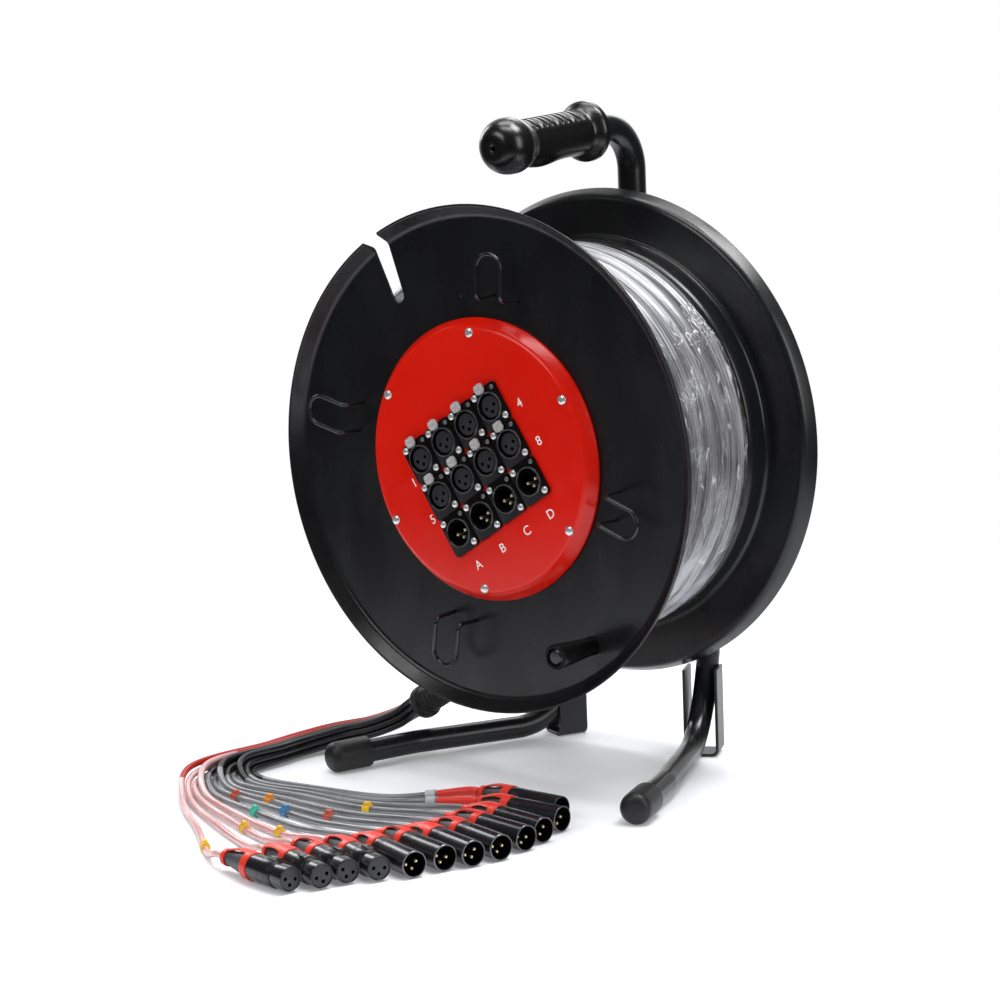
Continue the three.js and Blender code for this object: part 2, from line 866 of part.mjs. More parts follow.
// Bearing bush: seated in the rear flange, between the axle's collar and the upright
function hubBearing() {
  const bore = boreFor(axleRadius, axleSides);
  const frontY = axleFront + collarWidth + 2 * seatGap;
  const flangeY = stepFaceY + sheet + seatGap;
  return turnedRing(
    [
      [bore, frontY],
      [bearingRadius, frontY],
      [bearingRadius, flangeY],
      [bearingFlange, flangeY],
      [bearingFlange, flangeY + bearingFlangeThickness],
      [bearingRadius, flangeY + bearingFlangeThickness],
      [bearingRadius, bearingRear],
      [bore, bearingRear],
    ],
    axleSides,
  );
}

// Cable plugs are turned with their face at y = 0 and their tail toward +Y
function plugShell(front) {
  const [ringFront, ringBack] = plugRingPlace;
  return turned(
    [
      ...front,
      [plugRadius, ringFront - seatGap],
      [plugRing, ringFront],
      [plugRing, ringBack],
      [plugNeck, ringBack + sheet],
      [plugTail, plugLength],
      [0, plugLength],
    ],
    plugSides,
  );
}

function malePlug() {
  const shell = plugShell([[0, cupDepth], [cupRadius, cupDepth], [cupRadius, 0], [plugRadius, 0]]);
  return withPins(shell, cupDepth);
}

function femalePlug() {
  const nose = [[0, 0], [noseRadius, 0], [noseRadius, noseLength], [plugRadius, noseLength]];
  const [width, length, height] = latchSize;
  const latch = block(width, length, 2 * height, 0, latchPlace, plugRadius);
  return contactPlaces(contactCircle).reduce(
    (rest, [x, z]) => rest.subtract(bar(contactHole, -cutOverrun, contactDepth, contactSides, x, z)),
    plugShell(nose).add(latch),
  );
}

// Where each plug's face lies on the floor, and the direction that it points in, in degrees
const plugPlaces = [
  { name: "return_plug_a", x: 45.8, y: -353.4, heading: -12.3 },
  { name: "return_plug_b", x: 59, y: -336.6, heading: -19.3 },
  { name: "return_plug_c", x: 66.3, y: -318.1, heading: -21 },
  { name: "return_plug_d", x: 80.2, y: -302, heading: -22.4 },
  { name: "send_plug_1", x: 95, y: -282.6, heading: -20.2 },
  { name: "send_plug_2", x: 103, y: -259.4, heading: -17 },
  { name: "send_plug_3", x: 113, y: -241, heading: -17.9 },
  { name: "send_plug_4", x: 120, y: -219.3, heading: -16.6 },
  { name: "send_plug_5", x: 120.4, y: -191.7, heading: -10.7 },
  { name: "send_plug_6", x: 118.3, y: -169.3, heading: -10.3 },
  { name: "send_plug_7", x: 111.8, y: -139.4, heading: -1.9 },
  { name: "send_plug_8", x: 95, y: -118.8, heading: -3.1 },
];

// Boot: where its two ends lie, as x, y and height above the floor
const bootRear = [-84, -18, 63];
const bootMouth = [-125.7, -11.1, 40.2];

// The trunk from the winding to the boot, and the bundle from the boot to where it parts, the
// latter with heights above the floor
const trunkDrum = 152; // radius over the winding that the trunk's points were chosen for
const trunkPoints = [
  [79.3, -25, -140.2],
  [62, -25, -148.6],
  [41.1, -25, -156.2],
  [0, -23.5, -168],
  [-43, -21, -177.5],
];
const bundlePoints = [
  [-148, -14.5, 27],
  [-170, -25, 18],
  [-192, -39, 13],
  [-203.8, -72, 10],
  [-204, -104, 10],
];

// Each tail from the bundle to its plug: x, y and height above the floor, outermost tail first
const tailPoints = [
  [[-218, -182, 14], [-183, -226, 4.8], [-110, -283, 3.7], [-62, -322, 3.7]],
  [[-216, -178, 8.7], [-182, -219, 3.7], [-110, -264, 3.7], [-50, -294, 3.7]],
  [[-214, -174, 3.8], [-181, -212, 3.7], [-110, -250, 3.7], [-50, -275, 3.7]],
  [[-212, -170, 14], [-180, -205, 4.8], [-110, -238, 3.7], [-50, -258, 3.7]],
  [[-210, -165, 8.7], [-179, -198, 3.7], [-110, -224, 3.7], [-50, -239, 3.7]],
  [[-208, -161, 3.8], [-178, -191, 3.7], [-110, -208, 3.7], [-50, -220, 3.7]],
  [[-206, -157, 14], [-177, -184, 4.8], [-110, -197, 3.7], [-50, -206, 3.7]],
  [[-203, -153, 8.7], [-176, -178, 3.7], [-110, -186, 3.7], [-50, -191, 3.7]],
  [[-201, -149, 3.8], [-175, -171, 3.7], [-110, -173, 3.7], [-50, -175, 3.7]],
  [[-199, -144, 14], [-174, -164, 4.8], [-110, -165, 3.7], [-50, -163, 3.7]],
  [[-197, -140, 8.7], [-173, -157, 3.7], [-110, -157, 3.7], [-50, -152, 3.7]],
  [[-195, -136, 3.8], [-172, -150, 3.7], [-110, -150, 3.7], [-50, -140, 3.7]],
];

function overFloor([x, y, height]) {
  return new THREE.Vector3(x, y, floorZ + height);
}

// A cord's route that keeps its section upright: x outward from the bend, y up
class UprightRoute extends THREE.CatmullRomCurve3 {
  computeFrenetFrames(segments) {
    const along = Array.from({ length: segments + 1 }, (unused, i) => i / segments);
    const tangents = along.map((u) => this.getTangentAt(u));
    const normals = tangents.map((tangent) => outwardOf(tangent));
    const binormals = tangents.map((tangent, i) => normals[i].clone().cross(tangent));
    return { tangents, normals, binormals };
  }
}

function outwardOf(heading) {
  return heading.clone().cross(new THREE.Vector3(0, 0, 1)).normalize();
}

// Places of the twelve tails in the bundle's section, [outward, up], outermost first
function bundleSlots() {
  const columns = Array.from({ length: bundleColumns }, (unused, c) => (bundleColumns - 1) / 2 - c);
  const rows = Array.from({ length: bundleRows }, (unused, r) => (bundleRows - 1) / 2 - r);
  return columns.flatMap((column) => rows.map((row) => [column * tailPitch, row * tailPitch]));
}

function bundleSection() {
  const [out, up] = bundleSlots()[0].map((reach) => reach + tailRadius);
  const [bentOut, bentUp] = [out - tailRadius, up - tailRadius];
  return sectionOf([
    [out, bentUp],
    [bentOut, up],
    [-bentOut, up],
    [-out, bentUp],
    [-out, -bentUp],
    [-bentOut, -up],
    [bentOut, -up],
    [out, -bentUp],
  ]);
}

// The twelve tails: one bundle out of the boot's mouth that parts into single tails
function breakoutTails() {
  const mouth = overFloor(bootMouth);
  const into = mouth.clone().sub(overFloor(bootRear)).normalize();
  const first = mouth.clone().addScaledVector(into, 2 * seatGap);
  const second = mouth.clone().addScaledVector(into, bundleColumns * tailRadius);
  const rest = bundlePoints.map(overFloor);
  const route = new UprightRoute([first, second, ...rest], false, "centripetal");
  const steps = Math.ceil(route.getLength() / (tailPitch * diametersPerStep));
  const options = { steps, extrudePath: route, bevelEnabled: false };
  const bundle = solid(new THREE.ExtrudeGeometry(bundleSection(), options));
  const end = rest[rest.length - 1];
  const heading = route.getTangentAt(1);
  const outward = outwardOf(heading);
  const up = outward.clone().cross(heading);
  const section = sectionOf(ringOfPoints(tailRadius, cordSides));
  return bundleSlots().reduce((body, [out, rise], i) => {
    const slot = (point) => point.clone().addScaledVector(outward, out).addScaledVector(up, rise);
    const back = end.clone().addScaledVector(heading, -2 * tailRadius);
    const rear = plugRear(plugPlaces[i], plugLength + seatGap);
    const approach = plugRear(plugPlaces[i], plugLength + 4 * tailRadius);
    const free = tailPoints[i].map(overFloor);
    return body.add(cord([slot(back), slot(end), ...free, approach, rear], tailRadius, section));
  }, bundle);
}

// A point on a plug's axis, behind its face
function plugRear({ x, y, heading }, behind) {
  const turn = heading * degrees;
  return new THREE.Vector3(
    x - behind * Math.cos(turn),
    y - behind * Math.sin(turn),
    floorZ + plugRing,
  );
}

// Boot: a moulded sleeve on the trunk's end with a wide mouth for the tails, face at y = 0
function breakoutBoot() {
  return turned(
    [
      [0, 0],
      [bootMouthRadius - seatGap, 0],
      [bootMouthRadius, sheet],
      [bootMouthRadius, bootMouthLength],
      [bootRadius - seatGap, bootMouthLength + sheet],
      [bootRadius, bootLength / 2],
      [cableDiameter / 2 + sheet / 2, bootLength],
      [0, bootLength],
    ],
    bootSides,
  );
}

// A mesh whose own +Y is turned to point from one place to another
function aim(mesh, from, to) {
  mesh.position.copy(from);
  mesh.quaternion.setFromUnitVectors(yAxis, to.clone().sub(from).normalize());
  return mesh;
}

function standGroup() {
  const stand = new THREE.Group();
  stand.add(piece("frame_upright", frameUpright(), blackEnamel));
  stand.add(piece("frame_hoop", frameHoop(), blackEnamel));
  [["left", -1], ["right", 1]].forEach(([name, side]) => {
    const [top, heel, knee, toe] = legCorners(side).map((corner) => new THREE.Vector3(...corner));
    stand.add(piece(`leg_${name}`, leg(side), blackEnamel));
    const bracket = piece(`rear_bracket_${name}`, rearBracket(), blackEnamel);
    const forward = knee.clone().sub(heel).setZ(0).normalize();
    const place = top.clone().lerp(heel, strapPlaceShare).setZ(floorZ);
    bracket.position.copy(place.addScaledVector(forward, strapForward));
    bracket.rotation.z = Math.atan2(forward.x, -forward.y);
    stand.add(bracket);
    const back = knee.clone().sub(toe).normalize();
    const mouth = toe.clone().addScaledVector(back, capLength - capWall - seatGap);
    stand.add(aim(piece(`foot_cap_${name}`, footCap(), blackRubber), mouth, mouth.clone().add(back)));
  });
  const grip = piece("handle_grip", handleGrip(), blackRubber);
  grip.position.set(0, gripTipY, gripAxisZ(gripTipY));
  grip.rotation.x = gripTurn;
  stand.add(grip);
  stand.add(piece("axle", axle(), brightMetal));
  stand.add(piece("axle_collar", axleCollar(), brightMetal));
  return stand;
}

function connectorGroup() {
  const grid = new THREE.Group();
  grid.position.set(gridCentre[0], plateY, gridCentre[1]);
  grid.rotation.y = -gridTurn * degrees;
  connectorPlaces().forEach(({ label, input, x, z }) => {
    const body = input ? inputConnector() : returnConnector();
    const socket = piece(input ? `input_${label}` : `return_${label}`, body, blackPlastic);
    socket.position.set(x, 0, z);
    grid.add(socket);
    if (!input) return;
    const tab = piece(`push_tab_${label}`, pushTab(), brightMetal);
    tab.position.set(x, 0, z + tabCentre);
    grid.add(tab);
  });
  return grid;
}

function hookGroup() {
  const hooks = new THREE.Group();
  hookAngles.forEach((angle, i) => {
    const hook = piece(`wire_hook_${i + 1}`, wireHook(hookLeans[i]), blackMetal);
    hook.position.copy(onDrum(panelRadius + hookOffset, angle, 0));
    hook.rotation.y = (90 - angle) * degrees;
    hooks.add(hook);
  });
  return hooks;
}

function drumGroup() {
  const drum = new THREE.Group();
  const winding = windingStations();
  const gap = leastGapToItself(winding, cableDiameter);
  console.log(`outer layer of cable: least gap to itself ${gap.toFixed(2)} mm`);
  const section = sectionOf(ringOfPoints(cableDiameter / 2, windingSides));
  drum.add(piece("front_flange", frontFlange(), blackEnamel));
  drum.add(piece("rear_flange", rearFlange(), blackEnamel));
  drum.add(piece("drum_core", betweenFlanges(coreRadius - sheet, coreRadius), blackEnamel));
  const layers = betweenFlanges(coreRadius + seatGap, innerLayersRadius);
  drum.add(piece("cable_inner_layers", layers, greyJacket));
  drum.add(piece("cable_outer_layer", pipe(winding, section), greyJacket));
  drum.add(piece("hub_bearing", hubBearing(), blackPlastic));
  drum.add(piece("connector_panel", connectorPanel(), redLacquer));
  drum.add(connectorGroup());
  drum.add(hookGroup());
  const stud = piece("crank_stud", crankStud(), brightMetal);
  const knob = piece("crank_knob", crankKnob(), blackPlastic);
  [stud, knob].forEach((part) => part.position.copy(crankPlace));
  drum.add(stud, knob);
  return drum;
}

function cordGroup() {
  const cords = new THREE.Group();
  const mouth = overFloor(bootMouth);
  const rear = overFloor(bootRear);
  const back = rear.clone().sub(mouth).normalize();
  const face = mouth.clone().addScaledVector(back, seatGap);
  cords.add(aim(piece("breakout_boot", breakoutBoot(), blackRubber), face, rear));
  const tailEnd = face.clone().addScaledVector(back, bootLength + seatGap);
  const beforeEnd = tailEnd.clone().addScaledVector(back, cableDiameter / 2);
  const trunkRoute = trunkPoints.map(([x, y, z]) => {
    const follow = 1 + (windingTop - trunkDrum) / Math.hypot(x, z);
    return new THREE.Vector3(follow * x, y, follow * z);
  });
  trunkRoute.push(beforeEnd, tailEnd);
  const trunkSection = sectionOf(ringOfPoints(cableDiameter / 2, tubeSides));
  cords.add(piece("trunk_cable", cord(trunkRoute, cableDiameter / 2, trunkSection), greyJacket));
  cords.add(piece("breakout_tails", breakoutTails(), greyJacket));
  plugPlaces.forEach((place) => {
    const male = place.name.startsWith("send");
    const plug = piece(place.name, male ? malePlug() : femalePlug(), blackMetal);
    plug.position.copy(plugRear(place, 0));
    plug.rotation.z = (place.heading + 90) * degrees;
    cords.add(plug);
  });
  return cords;
}

// The origin is under the middle of the reel, at the floor, with the loose cable left out
const reel = new THREE.Group();
reel.add(standGroup(), drumGroup());
reel.updateMatrixWorld(true);
const bounds = new THREE.Box3().setFromObject(reel);
const middle = bounds.getCenter(new THREE.Vector3());

const snake = new THREE.Group();
snake.add(reel, cordGroup());
snake.position.set(-middle.x, -middle.y, -bounds.min.z);

export default snake;
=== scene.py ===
# %% [markdown]
# # A stage box snake on its drum
# A stage box snake carries twelve microphone lines in one thick cable. The cable is wound on a
# steel drum, twelve sockets sit in a red panel on the drum's front, and the free end parts into
# twelve thin tails with plugs.
#
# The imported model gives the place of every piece. This lesson adds the looks: smooth shapes,
# procedural materials, the small pieces and the light.

# %% The frame
import math

import bmesh
import bpy
from mathutils import Matrix, Vector


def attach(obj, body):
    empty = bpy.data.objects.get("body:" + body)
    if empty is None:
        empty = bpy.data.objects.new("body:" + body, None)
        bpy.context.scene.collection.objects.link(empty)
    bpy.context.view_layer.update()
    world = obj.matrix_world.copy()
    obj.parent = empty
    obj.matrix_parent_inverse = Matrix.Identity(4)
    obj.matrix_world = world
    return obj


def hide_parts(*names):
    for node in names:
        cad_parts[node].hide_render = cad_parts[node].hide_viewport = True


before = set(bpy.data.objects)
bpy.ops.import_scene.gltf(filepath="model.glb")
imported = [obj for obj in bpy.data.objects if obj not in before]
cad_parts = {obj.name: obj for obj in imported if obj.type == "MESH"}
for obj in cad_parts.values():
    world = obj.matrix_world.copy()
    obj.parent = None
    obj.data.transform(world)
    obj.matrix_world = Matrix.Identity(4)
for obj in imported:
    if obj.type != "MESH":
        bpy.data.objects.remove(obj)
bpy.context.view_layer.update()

print("pieces in the frame:", len(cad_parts))

# %% [markdown]
# ## Where things are
# The CAD model measures from the drum's centre, in millimetres. The frame stands the same model
# on the floor, in metres. One helper changes the first into the second.
# Numbers typed in metres would do as well. The helper keeps them the same as in the CAD source,
# so that both can be compared.

# %% Places from the drum's centre
drum_height = 253.0
frame_shift = Vector((0.0, -9.5, drum_height))
seat_gap = 0.3


def at(x, y, z):
    """A place in the scene, in metres."""
    return (Vector((x, y, z)) + frame_shift) / 1000.0


def over_floor(point):
    """A place whose third number is its height over the floor."""
    x, y, height = point
    return Vector((x, y, height - drum_height))


print("drum centre in metres:", [round(v, 4) for v in at(0, 0, 0)])

# %% [markdown]
# ## The camera
# The product photo is taken from the front right, a little above the drum's axle, with a long
# lens. The camera stands 2.27 m away and is rolled by two degrees.
# A camera can be placed by eye, by matching a background picture, or by fitting. Here the
# flange's rim, the socket grid and the feet were fitted by least squares, and the result is
# three angles, a distance, a lens and a point to look at.

# %% Camera
camera_azimuth = math.radians(39.11)
camera_elevation = math.radians(9.43)
camera_roll = math.radians(-2.17)
camera_distance = 2270.0
camera_target = (-35.57, -41.03)
focal_length_px = 2990.0
picture_px = 1000.0

level = math.cos(camera_elevation)
back = (math.sin(camera_azimuth) * level, -math.cos(camera_azimuth) * level, math.sin(camera_elevation))
back = Vector(back)
level_right = Vector((math.cos(camera_azimuth), math.sin(camera_azimuth), 0.0))
level_up = back.cross(level_right)
right = math.cos(camera_roll) * level_right + math.sin(camera_roll) * level_up
up = -math.sin(camera_roll) * level_right + math.cos(camera_roll) * level_up
target = right * camera_target[0] + up * camera_target[1]
camera_data = bpy.data.cameras.new("product_camera")
camera = bpy.data.objects.new("product_camera", camera_data)
bpy.context.collection.objects.link(camera)
axes = Matrix((right, up, back)).transposed().to_4x4()
camera.matrix_world = Matrix.Translation(at(*(target + back * camera_distance))) @ axes
camera_data.sensor_width = 36.0
camera_data.lens = focal_length_px / picture_px * camera_data.sensor_width
camera_data.clip_start = 0.1
camera_data.clip_end = 20.0
bpy.context.scene.camera = camera
print("lens in mm:", round(camera_data.lens, 1))

# %% [markdown]
# ## How finishes are made here
# Every finish is a Principled shader with procedural detail: a broad noise that varies the
# colour, a fine noise that varies the roughness, and a bump for the surface's own grain.
# Photographed textures would be quicker, but they bring their own light and repeat. The noise is
# measured in metres, so a finish keeps its grain on every piece.

# %% Shader helpers
def new_material(name):
    material = bpy.data.materials.new(name)
    material.use_nodes = True
    return material, material.node_tree, material.node_tree.nodes["Principled BSDF"]


def stretched(tree, place, stretch):
    """Texture coordinates, stretched along some axes."""
    mapping = tree.nodes.new("ShaderNodeMapping")
    mapping.inputs["Scale"].default_value = stretch
    tree.links.new(place, mapping.inputs["Vector"])
    return mapping.outputs["Vector"]


def noise_at(tree, place, scale, detail=2.0, warp=0.0):
    noise = tree.nodes.new("ShaderNodeTexNoise")
    noise.inputs["Scale"].default_value = scale
    noise.inputs["Detail"].default_value = detail
    noise.inputs["Distortion"].default_value = warp
    tree.links.new(place, noise.inputs["Vector"])
    return noise


def noise_of(tree, scale, detail=3.0, stretch=(1.0, 1.0, 1.0), warp=0.0):
    """A noise over the piece, its scale per metre."""
    place = tree.nodes.new("ShaderNodeTexCoord").outputs["Object"]
    return noise_at(tree, stretched(tree, place, stretch), scale, detail, warp).outputs["Fac"]


print("noise helpers: noise_at, noise_of")

# %% Helpers that mix and raise
def spread(tree, source, low, high, start=0.3, end=0.7):
    """Low where the source is at start, high where it is at end, and between them in between."""
    node = tree.nodes.new("ShaderNodeMapRange")
    for name, value in zip(("From Min", "From Max", "To Min", "To Max"), (start, end, low, high)):
        node.inputs[name].default_value = value
    tree.links.new(source, node.inputs["Value"])
    return node.outputs["Result"]


def blend_colours(tree, source, first, second):
    """The first colour where the source is nought, the second where it is one."""
    node = tree.nodes.new("ShaderNodeMix")
    node.data_type = "RGBA"
    for socket, colour in ((6, first), (7, second)):
        if hasattr(colour, "links"):
            tree.links.new(colour, node.inputs[socket])
        else:
            node.inputs[socket].default_value = (*colour, 1.0)
    tree.links.new(source, node.inputs[0])
    return node.outputs[2]


def combine(tree, operation, first, second):
    node = tree.nodes.new("ShaderNodeMath")
    node.operation = operation
    for i, value in enumerate((first, second)):
        if hasattr(value, "links"):
            tree.links.new(value, node.inputs[i])
        else:
            node.inputs[i].default_value = value
    return node.outputs[0]


def raise_grain(tree, shader, source, depth, strength=0.6):
    """A bump from the source, its depth in metres."""
    bump = tree.nodes.new("ShaderNodeBump")
    bump.inputs["Strength"].default_value = strength
    bump.inputs["Distance"].default_value = depth
    tree.links.new(source, bump.inputs["Height"])
    tree.links.new(bump.outputs["Normal"], shader.inputs["Normal"])


print("shader helpers: spread, blend_colours, combine, raise_grain")

# %% One recipe for the plain finishes
patch_scale = 18.0


def grained_finish(name, colours, roughness, grain, depth=0.00002, metallic=0.0, specular=0.5):
    """Two colours in broad patches, and a fine grain that varies the gloss and stands up by depth."""
    material, tree, shader = new_material(name)
    patches = spread(tree, noise_of(tree, patch_scale, 4.0), 0.0, 1.0)
    tree.links.new(blend_colours(tree, patches, *colours), shader.inputs["Base Color"])
    fine = noise_of(tree, grain, 5.0)
    tree.links.new(spread(tree, fine, *roughness), shader.inputs["Roughness"])
    raise_grain(tree, shader, fine, depth)
    shader.inputs["Metallic"].default_value = metallic
    shader.inputs["Specular IOR Level"].default_value = specular
    return material


print("patches in a finish, in mm:", round(1000 / patch_scale))

# %% [markdown]
# ## Black stove enamel
# The flanges and the frame's tubes carry black enamel, baked on the steel. It is smooth and
# nearly glossy, with a faint orange peel, and a little dust lies on it.
# A glossy coat over a rough base is one way. A single layer with a low specular level keeps the
# black as deep as it is in the photo, and noise in its roughness breaks the reflections up.

# %% Enamel
enamel_black = (0.0062, 0.0065, 0.0075)
enamel_dusty = (0.0105, 0.0108, 0.0118)
enamel_speck = (0.16, 0.16, 0.17)


def stove_enamel():
    material, tree, shader = new_material("black_stove_enamel")
    dust = spread(tree, noise_of(tree, 9.0, 8.0, warp=0.4), 0.0, 1.0, 0.42, 0.75)
    black = blend_colours(tree, dust, enamel_black, enamel_dusty)
    specks = tree.nodes.new("ShaderNodeTexVoronoi")
    specks.inputs["Scale"].default_value = 60.0
    tree.links.new(tree.nodes.new("ShaderNodeTexCoord").outputs["Object"], specks.inputs["Vector"])
    speck = spread(tree, specks.outputs["Distance"], 1.0, 0.0, 0.018, 0.04)
    chosen = tree.nodes.new("ShaderNodeSeparateXYZ")
    tree.links.new(specks.outputs["Color"], chosen.inputs[0])
    speck = combine(tree, "MULTIPLY", speck, combine(tree, "GREATER_THAN", chosen.outputs["X"], 0.7))
    tree.links.new(blend_colours(tree, speck, black, enamel_speck), shader.inputs["Base Color"])
    smears = noise_of(tree, 30.0, 6.0, stretch=(1.0, 1.0, 0.35))
    tree.links.new(spread(tree, smears, 0.2, 0.34), shader.inputs["Roughness"])
    raise_grain(tree, shader, noise_of(tree, 420.0, 2.0), 0.00006, 0.35)
    shader.inputs["Specular IOR Level"].default_value = 0.42
    return material


enamel = stove_enamel()
print("finish:", enamel.name)

# %% [markdown]
# ## Rubber, plastic and plated metal
# The grip and the caps are matte rubber, the sockets and the knob are satin plastic, and the
# plugs are turned from metal with a smooth black plating. All three are black, and only their
# gloss and grain tell them apart.

# %% Black finishes
black = {
    "rubber": ((0.0075, 0.0075, 0.008), (0.013, 0.013, 0.0135)),
    "plastic": ((0.003, 0.003, 0.0034), (0.006, 0.006, 0.0065)),
    "plating": ((0.009, 0.009, 0.011), (0.015, 0.015, 0.018)),
    "grip": ((0.003, 0.003, 0.0033), (0.005, 0.005, 0.0055)),
    "insert": ((0.013, 0.012, 0.017), (0.02, 0.019, 0.025)),
    "hole": ((0.001, 0.001, 0.001), (0.0015, 0.0015, 0.0015)),
    "wire": ((0.012, 0.012, 0.013), (0.022, 0.022, 0.024)),
}
rubber = grained_finish("black_rubber", black["rubber"], (0.36, 0.48), 900.0, 0.00004, specular=0.34)
plastic = grained_finish("black_plastic", black["plastic"], (0.2, 0.3), 1600.0, specular=0.12)
plating = grained_finish("black_plating", black["plating"], (0.18, 0.28), 700.0, 0.00001, 0.25, 0.7)
grip_rubber = grained_finish("grip_rubber", black["grip"], (0.22, 0.3), 1100.0, 0.00001, specular=0.6)
insert_rubber = grained_finish("insert_rubber", black["insert"], (0.5, 0.65), 2200.0, 0.00003, specular=0.3)
# painted shade: the contact wells and the inside of the male cups are painted near-black as shade
painted_hole_shade = grained_finish("painted_hole_shade", black["hole"], (0.8, 0.9), 2000.0, 0.00001, specular=0.05)
wire_black = grained_finish("wire_black", black["wire"], (0.14, 0.24), 1500.0, metallic=0.4, specular=0.7)
print("black finishes:", ", ".join(black))

# %% Bright finishes
steel_pair = ((0.8, 0.8, 0.79), (0.66, 0.67, 0.67))
gold_pair = ((0.95, 0.8, 0.5), (0.88, 0.7, 0.4))
strap_pair = ((0.012, 0.012, 0.0135), (0.02, 0.02, 0.022))
print_pair = ((0.95, 0.92, 0.9), (0.86, 0.83, 0.81))
bright_steel = grained_finish("bright_steel", steel_pair, (0.16, 0.3), 1500.0, metallic=0.72)
gold_contact = grained_finish("gold_contact", gold_pair, (0.12, 0.22), 1800.0, 0.00001, 0.6)
strap_steel = grained_finish("strap_steel", strap_pair, (0.3, 0.45), 800.0, 0.00004, 0.2)
white_print = grained_finish("white_print", print_pair, (0.4, 0.55), 1200.0)
print("more finishes:", ", ".join(f.name for f in (bright_steel, gold_contact, strap_steel, white_print)))

# %% [markdown]
# ## Red lacquer
# The panel is sprayed red over steel, glossier than the enamel, with fine dust in it and a soft
# orange peel that bends the reflections.

# %% Lacquer
lacquer_red = (0.72, 0.0095, 0.0012)
lacquer_deep = (0.64, 0.0075, 0.001)


def red_lacquer():
    material, tree, shader = new_material("red_lacquer")
    broad = spread(tree, noise_of(tree, 7.0, 5.0), 0.0, 1.0)
    tree.links.new(blend_colours(tree, broad, lacquer_red, lacquer_deep), shader.inputs["Base Color"])
    tree.links.new(spread(tree, noise_of(tree, 60.0, 6.0), 0.16, 0.26), shader.inputs["Roughness"])
    raise_grain(tree, shader, noise_of(tree, 350.0, 2.0), 0.00005, 0.3)
    shader.inputs["Specular IOR Level"].default_value = 0.34
    return material


lacquer = red_lacquer()
print("finish:", lacquer.name)

# %% [markdown]
# ## Jackets
# The thick cable has a grey vinyl jacket, slightly see-through at its skin, which is scuffed along its
# length by winding. On the winding, its light streaks are partly painted highlights. The tails near the
# boot wear red and black sleeves. The bare part of the tails is grey on the sends and milky pink on the
# returns.
# Streaks along a cable come from noise that is stretched along it. A texture in the object's own
# directions would run across the bends. Here the noise uses the tube's texture coordinates, whose
# first one runs along the cable.

# %% Jacket finishes
def streak_noise(tree, scale, detail):
    """A noise along the cable. The scale is per metre: along it, and round it."""
    place = tree.nodes.new("ShaderNodeTexCoord").outputs["UV"]
    return noise_at(tree, stretched(tree, place, (*scale, 1.0)), 1.0, detail).outputs["Fac"]


def jacket(name, colours, roughness, streaks, clear=0.0, specular=0.5):
    """A vinyl jacket in two tones, streaked along. Clear is the share of light that goes in."""
    material, tree, shader = new_material(name)
    streak = streak_noise(tree, streaks, 6.0)
    tone = spread(tree, streak, 0.0, 1.0, 0.35, 0.65)
    tree.links.new(blend_colours(tree, tone, *colours), shader.inputs["Base Color"])
    tree.links.new(spread(tree, streak, *roughness), shader.inputs["Roughness"])
    raise_grain(tree, shader, combine(tree, "ADD", streak, noise_of(tree, 900.0, 3.0)), 0.00004)
    shader.inputs["Specular IOR Level"].default_value = specular
    shader.inputs["Subsurface Weight"].default_value = clear
    shader.inputs["Subsurface Radius"].default_value = (0.004, 0.003, 0.003)
    shader.inputs["Subsurface Scale"].default_value = 1.0
    return material


print("streaks follow the cable: streak_noise, jacket")

# %% Wound jacket
wound_dark = (0.028, 0.028, 0.03)
# painted highlight: the light streak tone is partly a painted highlight along the loops, and partly
# scuffing
wound_light_and_highlight = (0.5, 0.505, 0.54)


def wound_jacket():
    """The jacket where it is wound: scuffed along, in dark and light streaks; the light streaks are partly
    painted highlights.
    """
    material, tree, shader = new_material("wound_jacket")
    fine_streaks = streak_noise(tree, (7.0, 700.0), 3.0)
    broad_streaks = streak_noise(tree, (2.5, 190.0), 4.0)
    zones = streak_noise(tree, (3.0, 20.0), 2.0)
    fine = spread(tree, fine_streaks, 0.0, 0.6, 0.44, 0.6)
    broad = spread(tree, broad_streaks, 0.0, 0.3, 0.4, 0.6)
    zone = spread(tree, zones, -0.1, 0.15, 0.35, 0.65)
    tone = combine(tree, "ADD", combine(tree, "ADD", fine, broad), zone)
    tree.links.new(blend_colours(tree, tone, wound_dark, wound_light_and_highlight), shader.inputs["Base Color"])
    tree.links.new(spread(tree, fine_streaks, 0.14, 0.36), shader.inputs["Roughness"])
    raise_grain(tree, shader, combine(tree, "ADD", fine_streaks, broad_streaks), 0.0005, 0.9)
    shader.inputs["Specular IOR Level"].default_value = 0.9
    return material


wound_finish = wound_jacket()
print("finish:", wound_finish.name)

# %% Jackets
trunk_pair = ((0.15, 0.152, 0.165), (0.25, 0.255, 0.275))
# painted shade: the inner layers wear the same cable jacket, painted darker as the shade between the outer
# loops
shaded_inner_pair = ((0.05, 0.05, 0.053), (0.09, 0.09, 0.095))
grey_pair = ((0.1, 0.105, 0.115), (0.24, 0.25, 0.265))
pink_pair = ((0.5, 0.2, 0.2), (0.78, 0.58, 0.57))
red_pair = ((0.34, 0.008, 0.004), (0.46, 0.014, 0.007))
black_pair = ((0.007, 0.007, 0.009), (0.014, 0.014, 0.017))
trunk_jacket = jacket("grey_trunk_jacket", trunk_pair, (0.28, 0.46), (14.0, 260.0))
grey_tail = jacket("grey_tail_jacket", grey_pair, (0.2, 0.34), (18.0, 420.0), 0.1, 0.7)
pink_tail = jacket("pink_tail_jacket", pink_pair, (0.18, 0.3), (14.0, 300.0), 0.3, 0.7)
red_sleeve = jacket("red_sleeve", red_pair, (0.28, 0.4), (20.0, 500.0), specular=0.35)
black_sleeve = jacket("black_sleeve", black_pair, (0.3, 0.5), (20.0, 500.0))
shaded_inner_jacket = jacket("shaded_inner_jacket", shaded_inner_pair, (0.4, 0.55), (14.0, 260.0))
print("jackets: wound, trunk, dark, grey tail, pink tail, red sleeve, black sleeve")

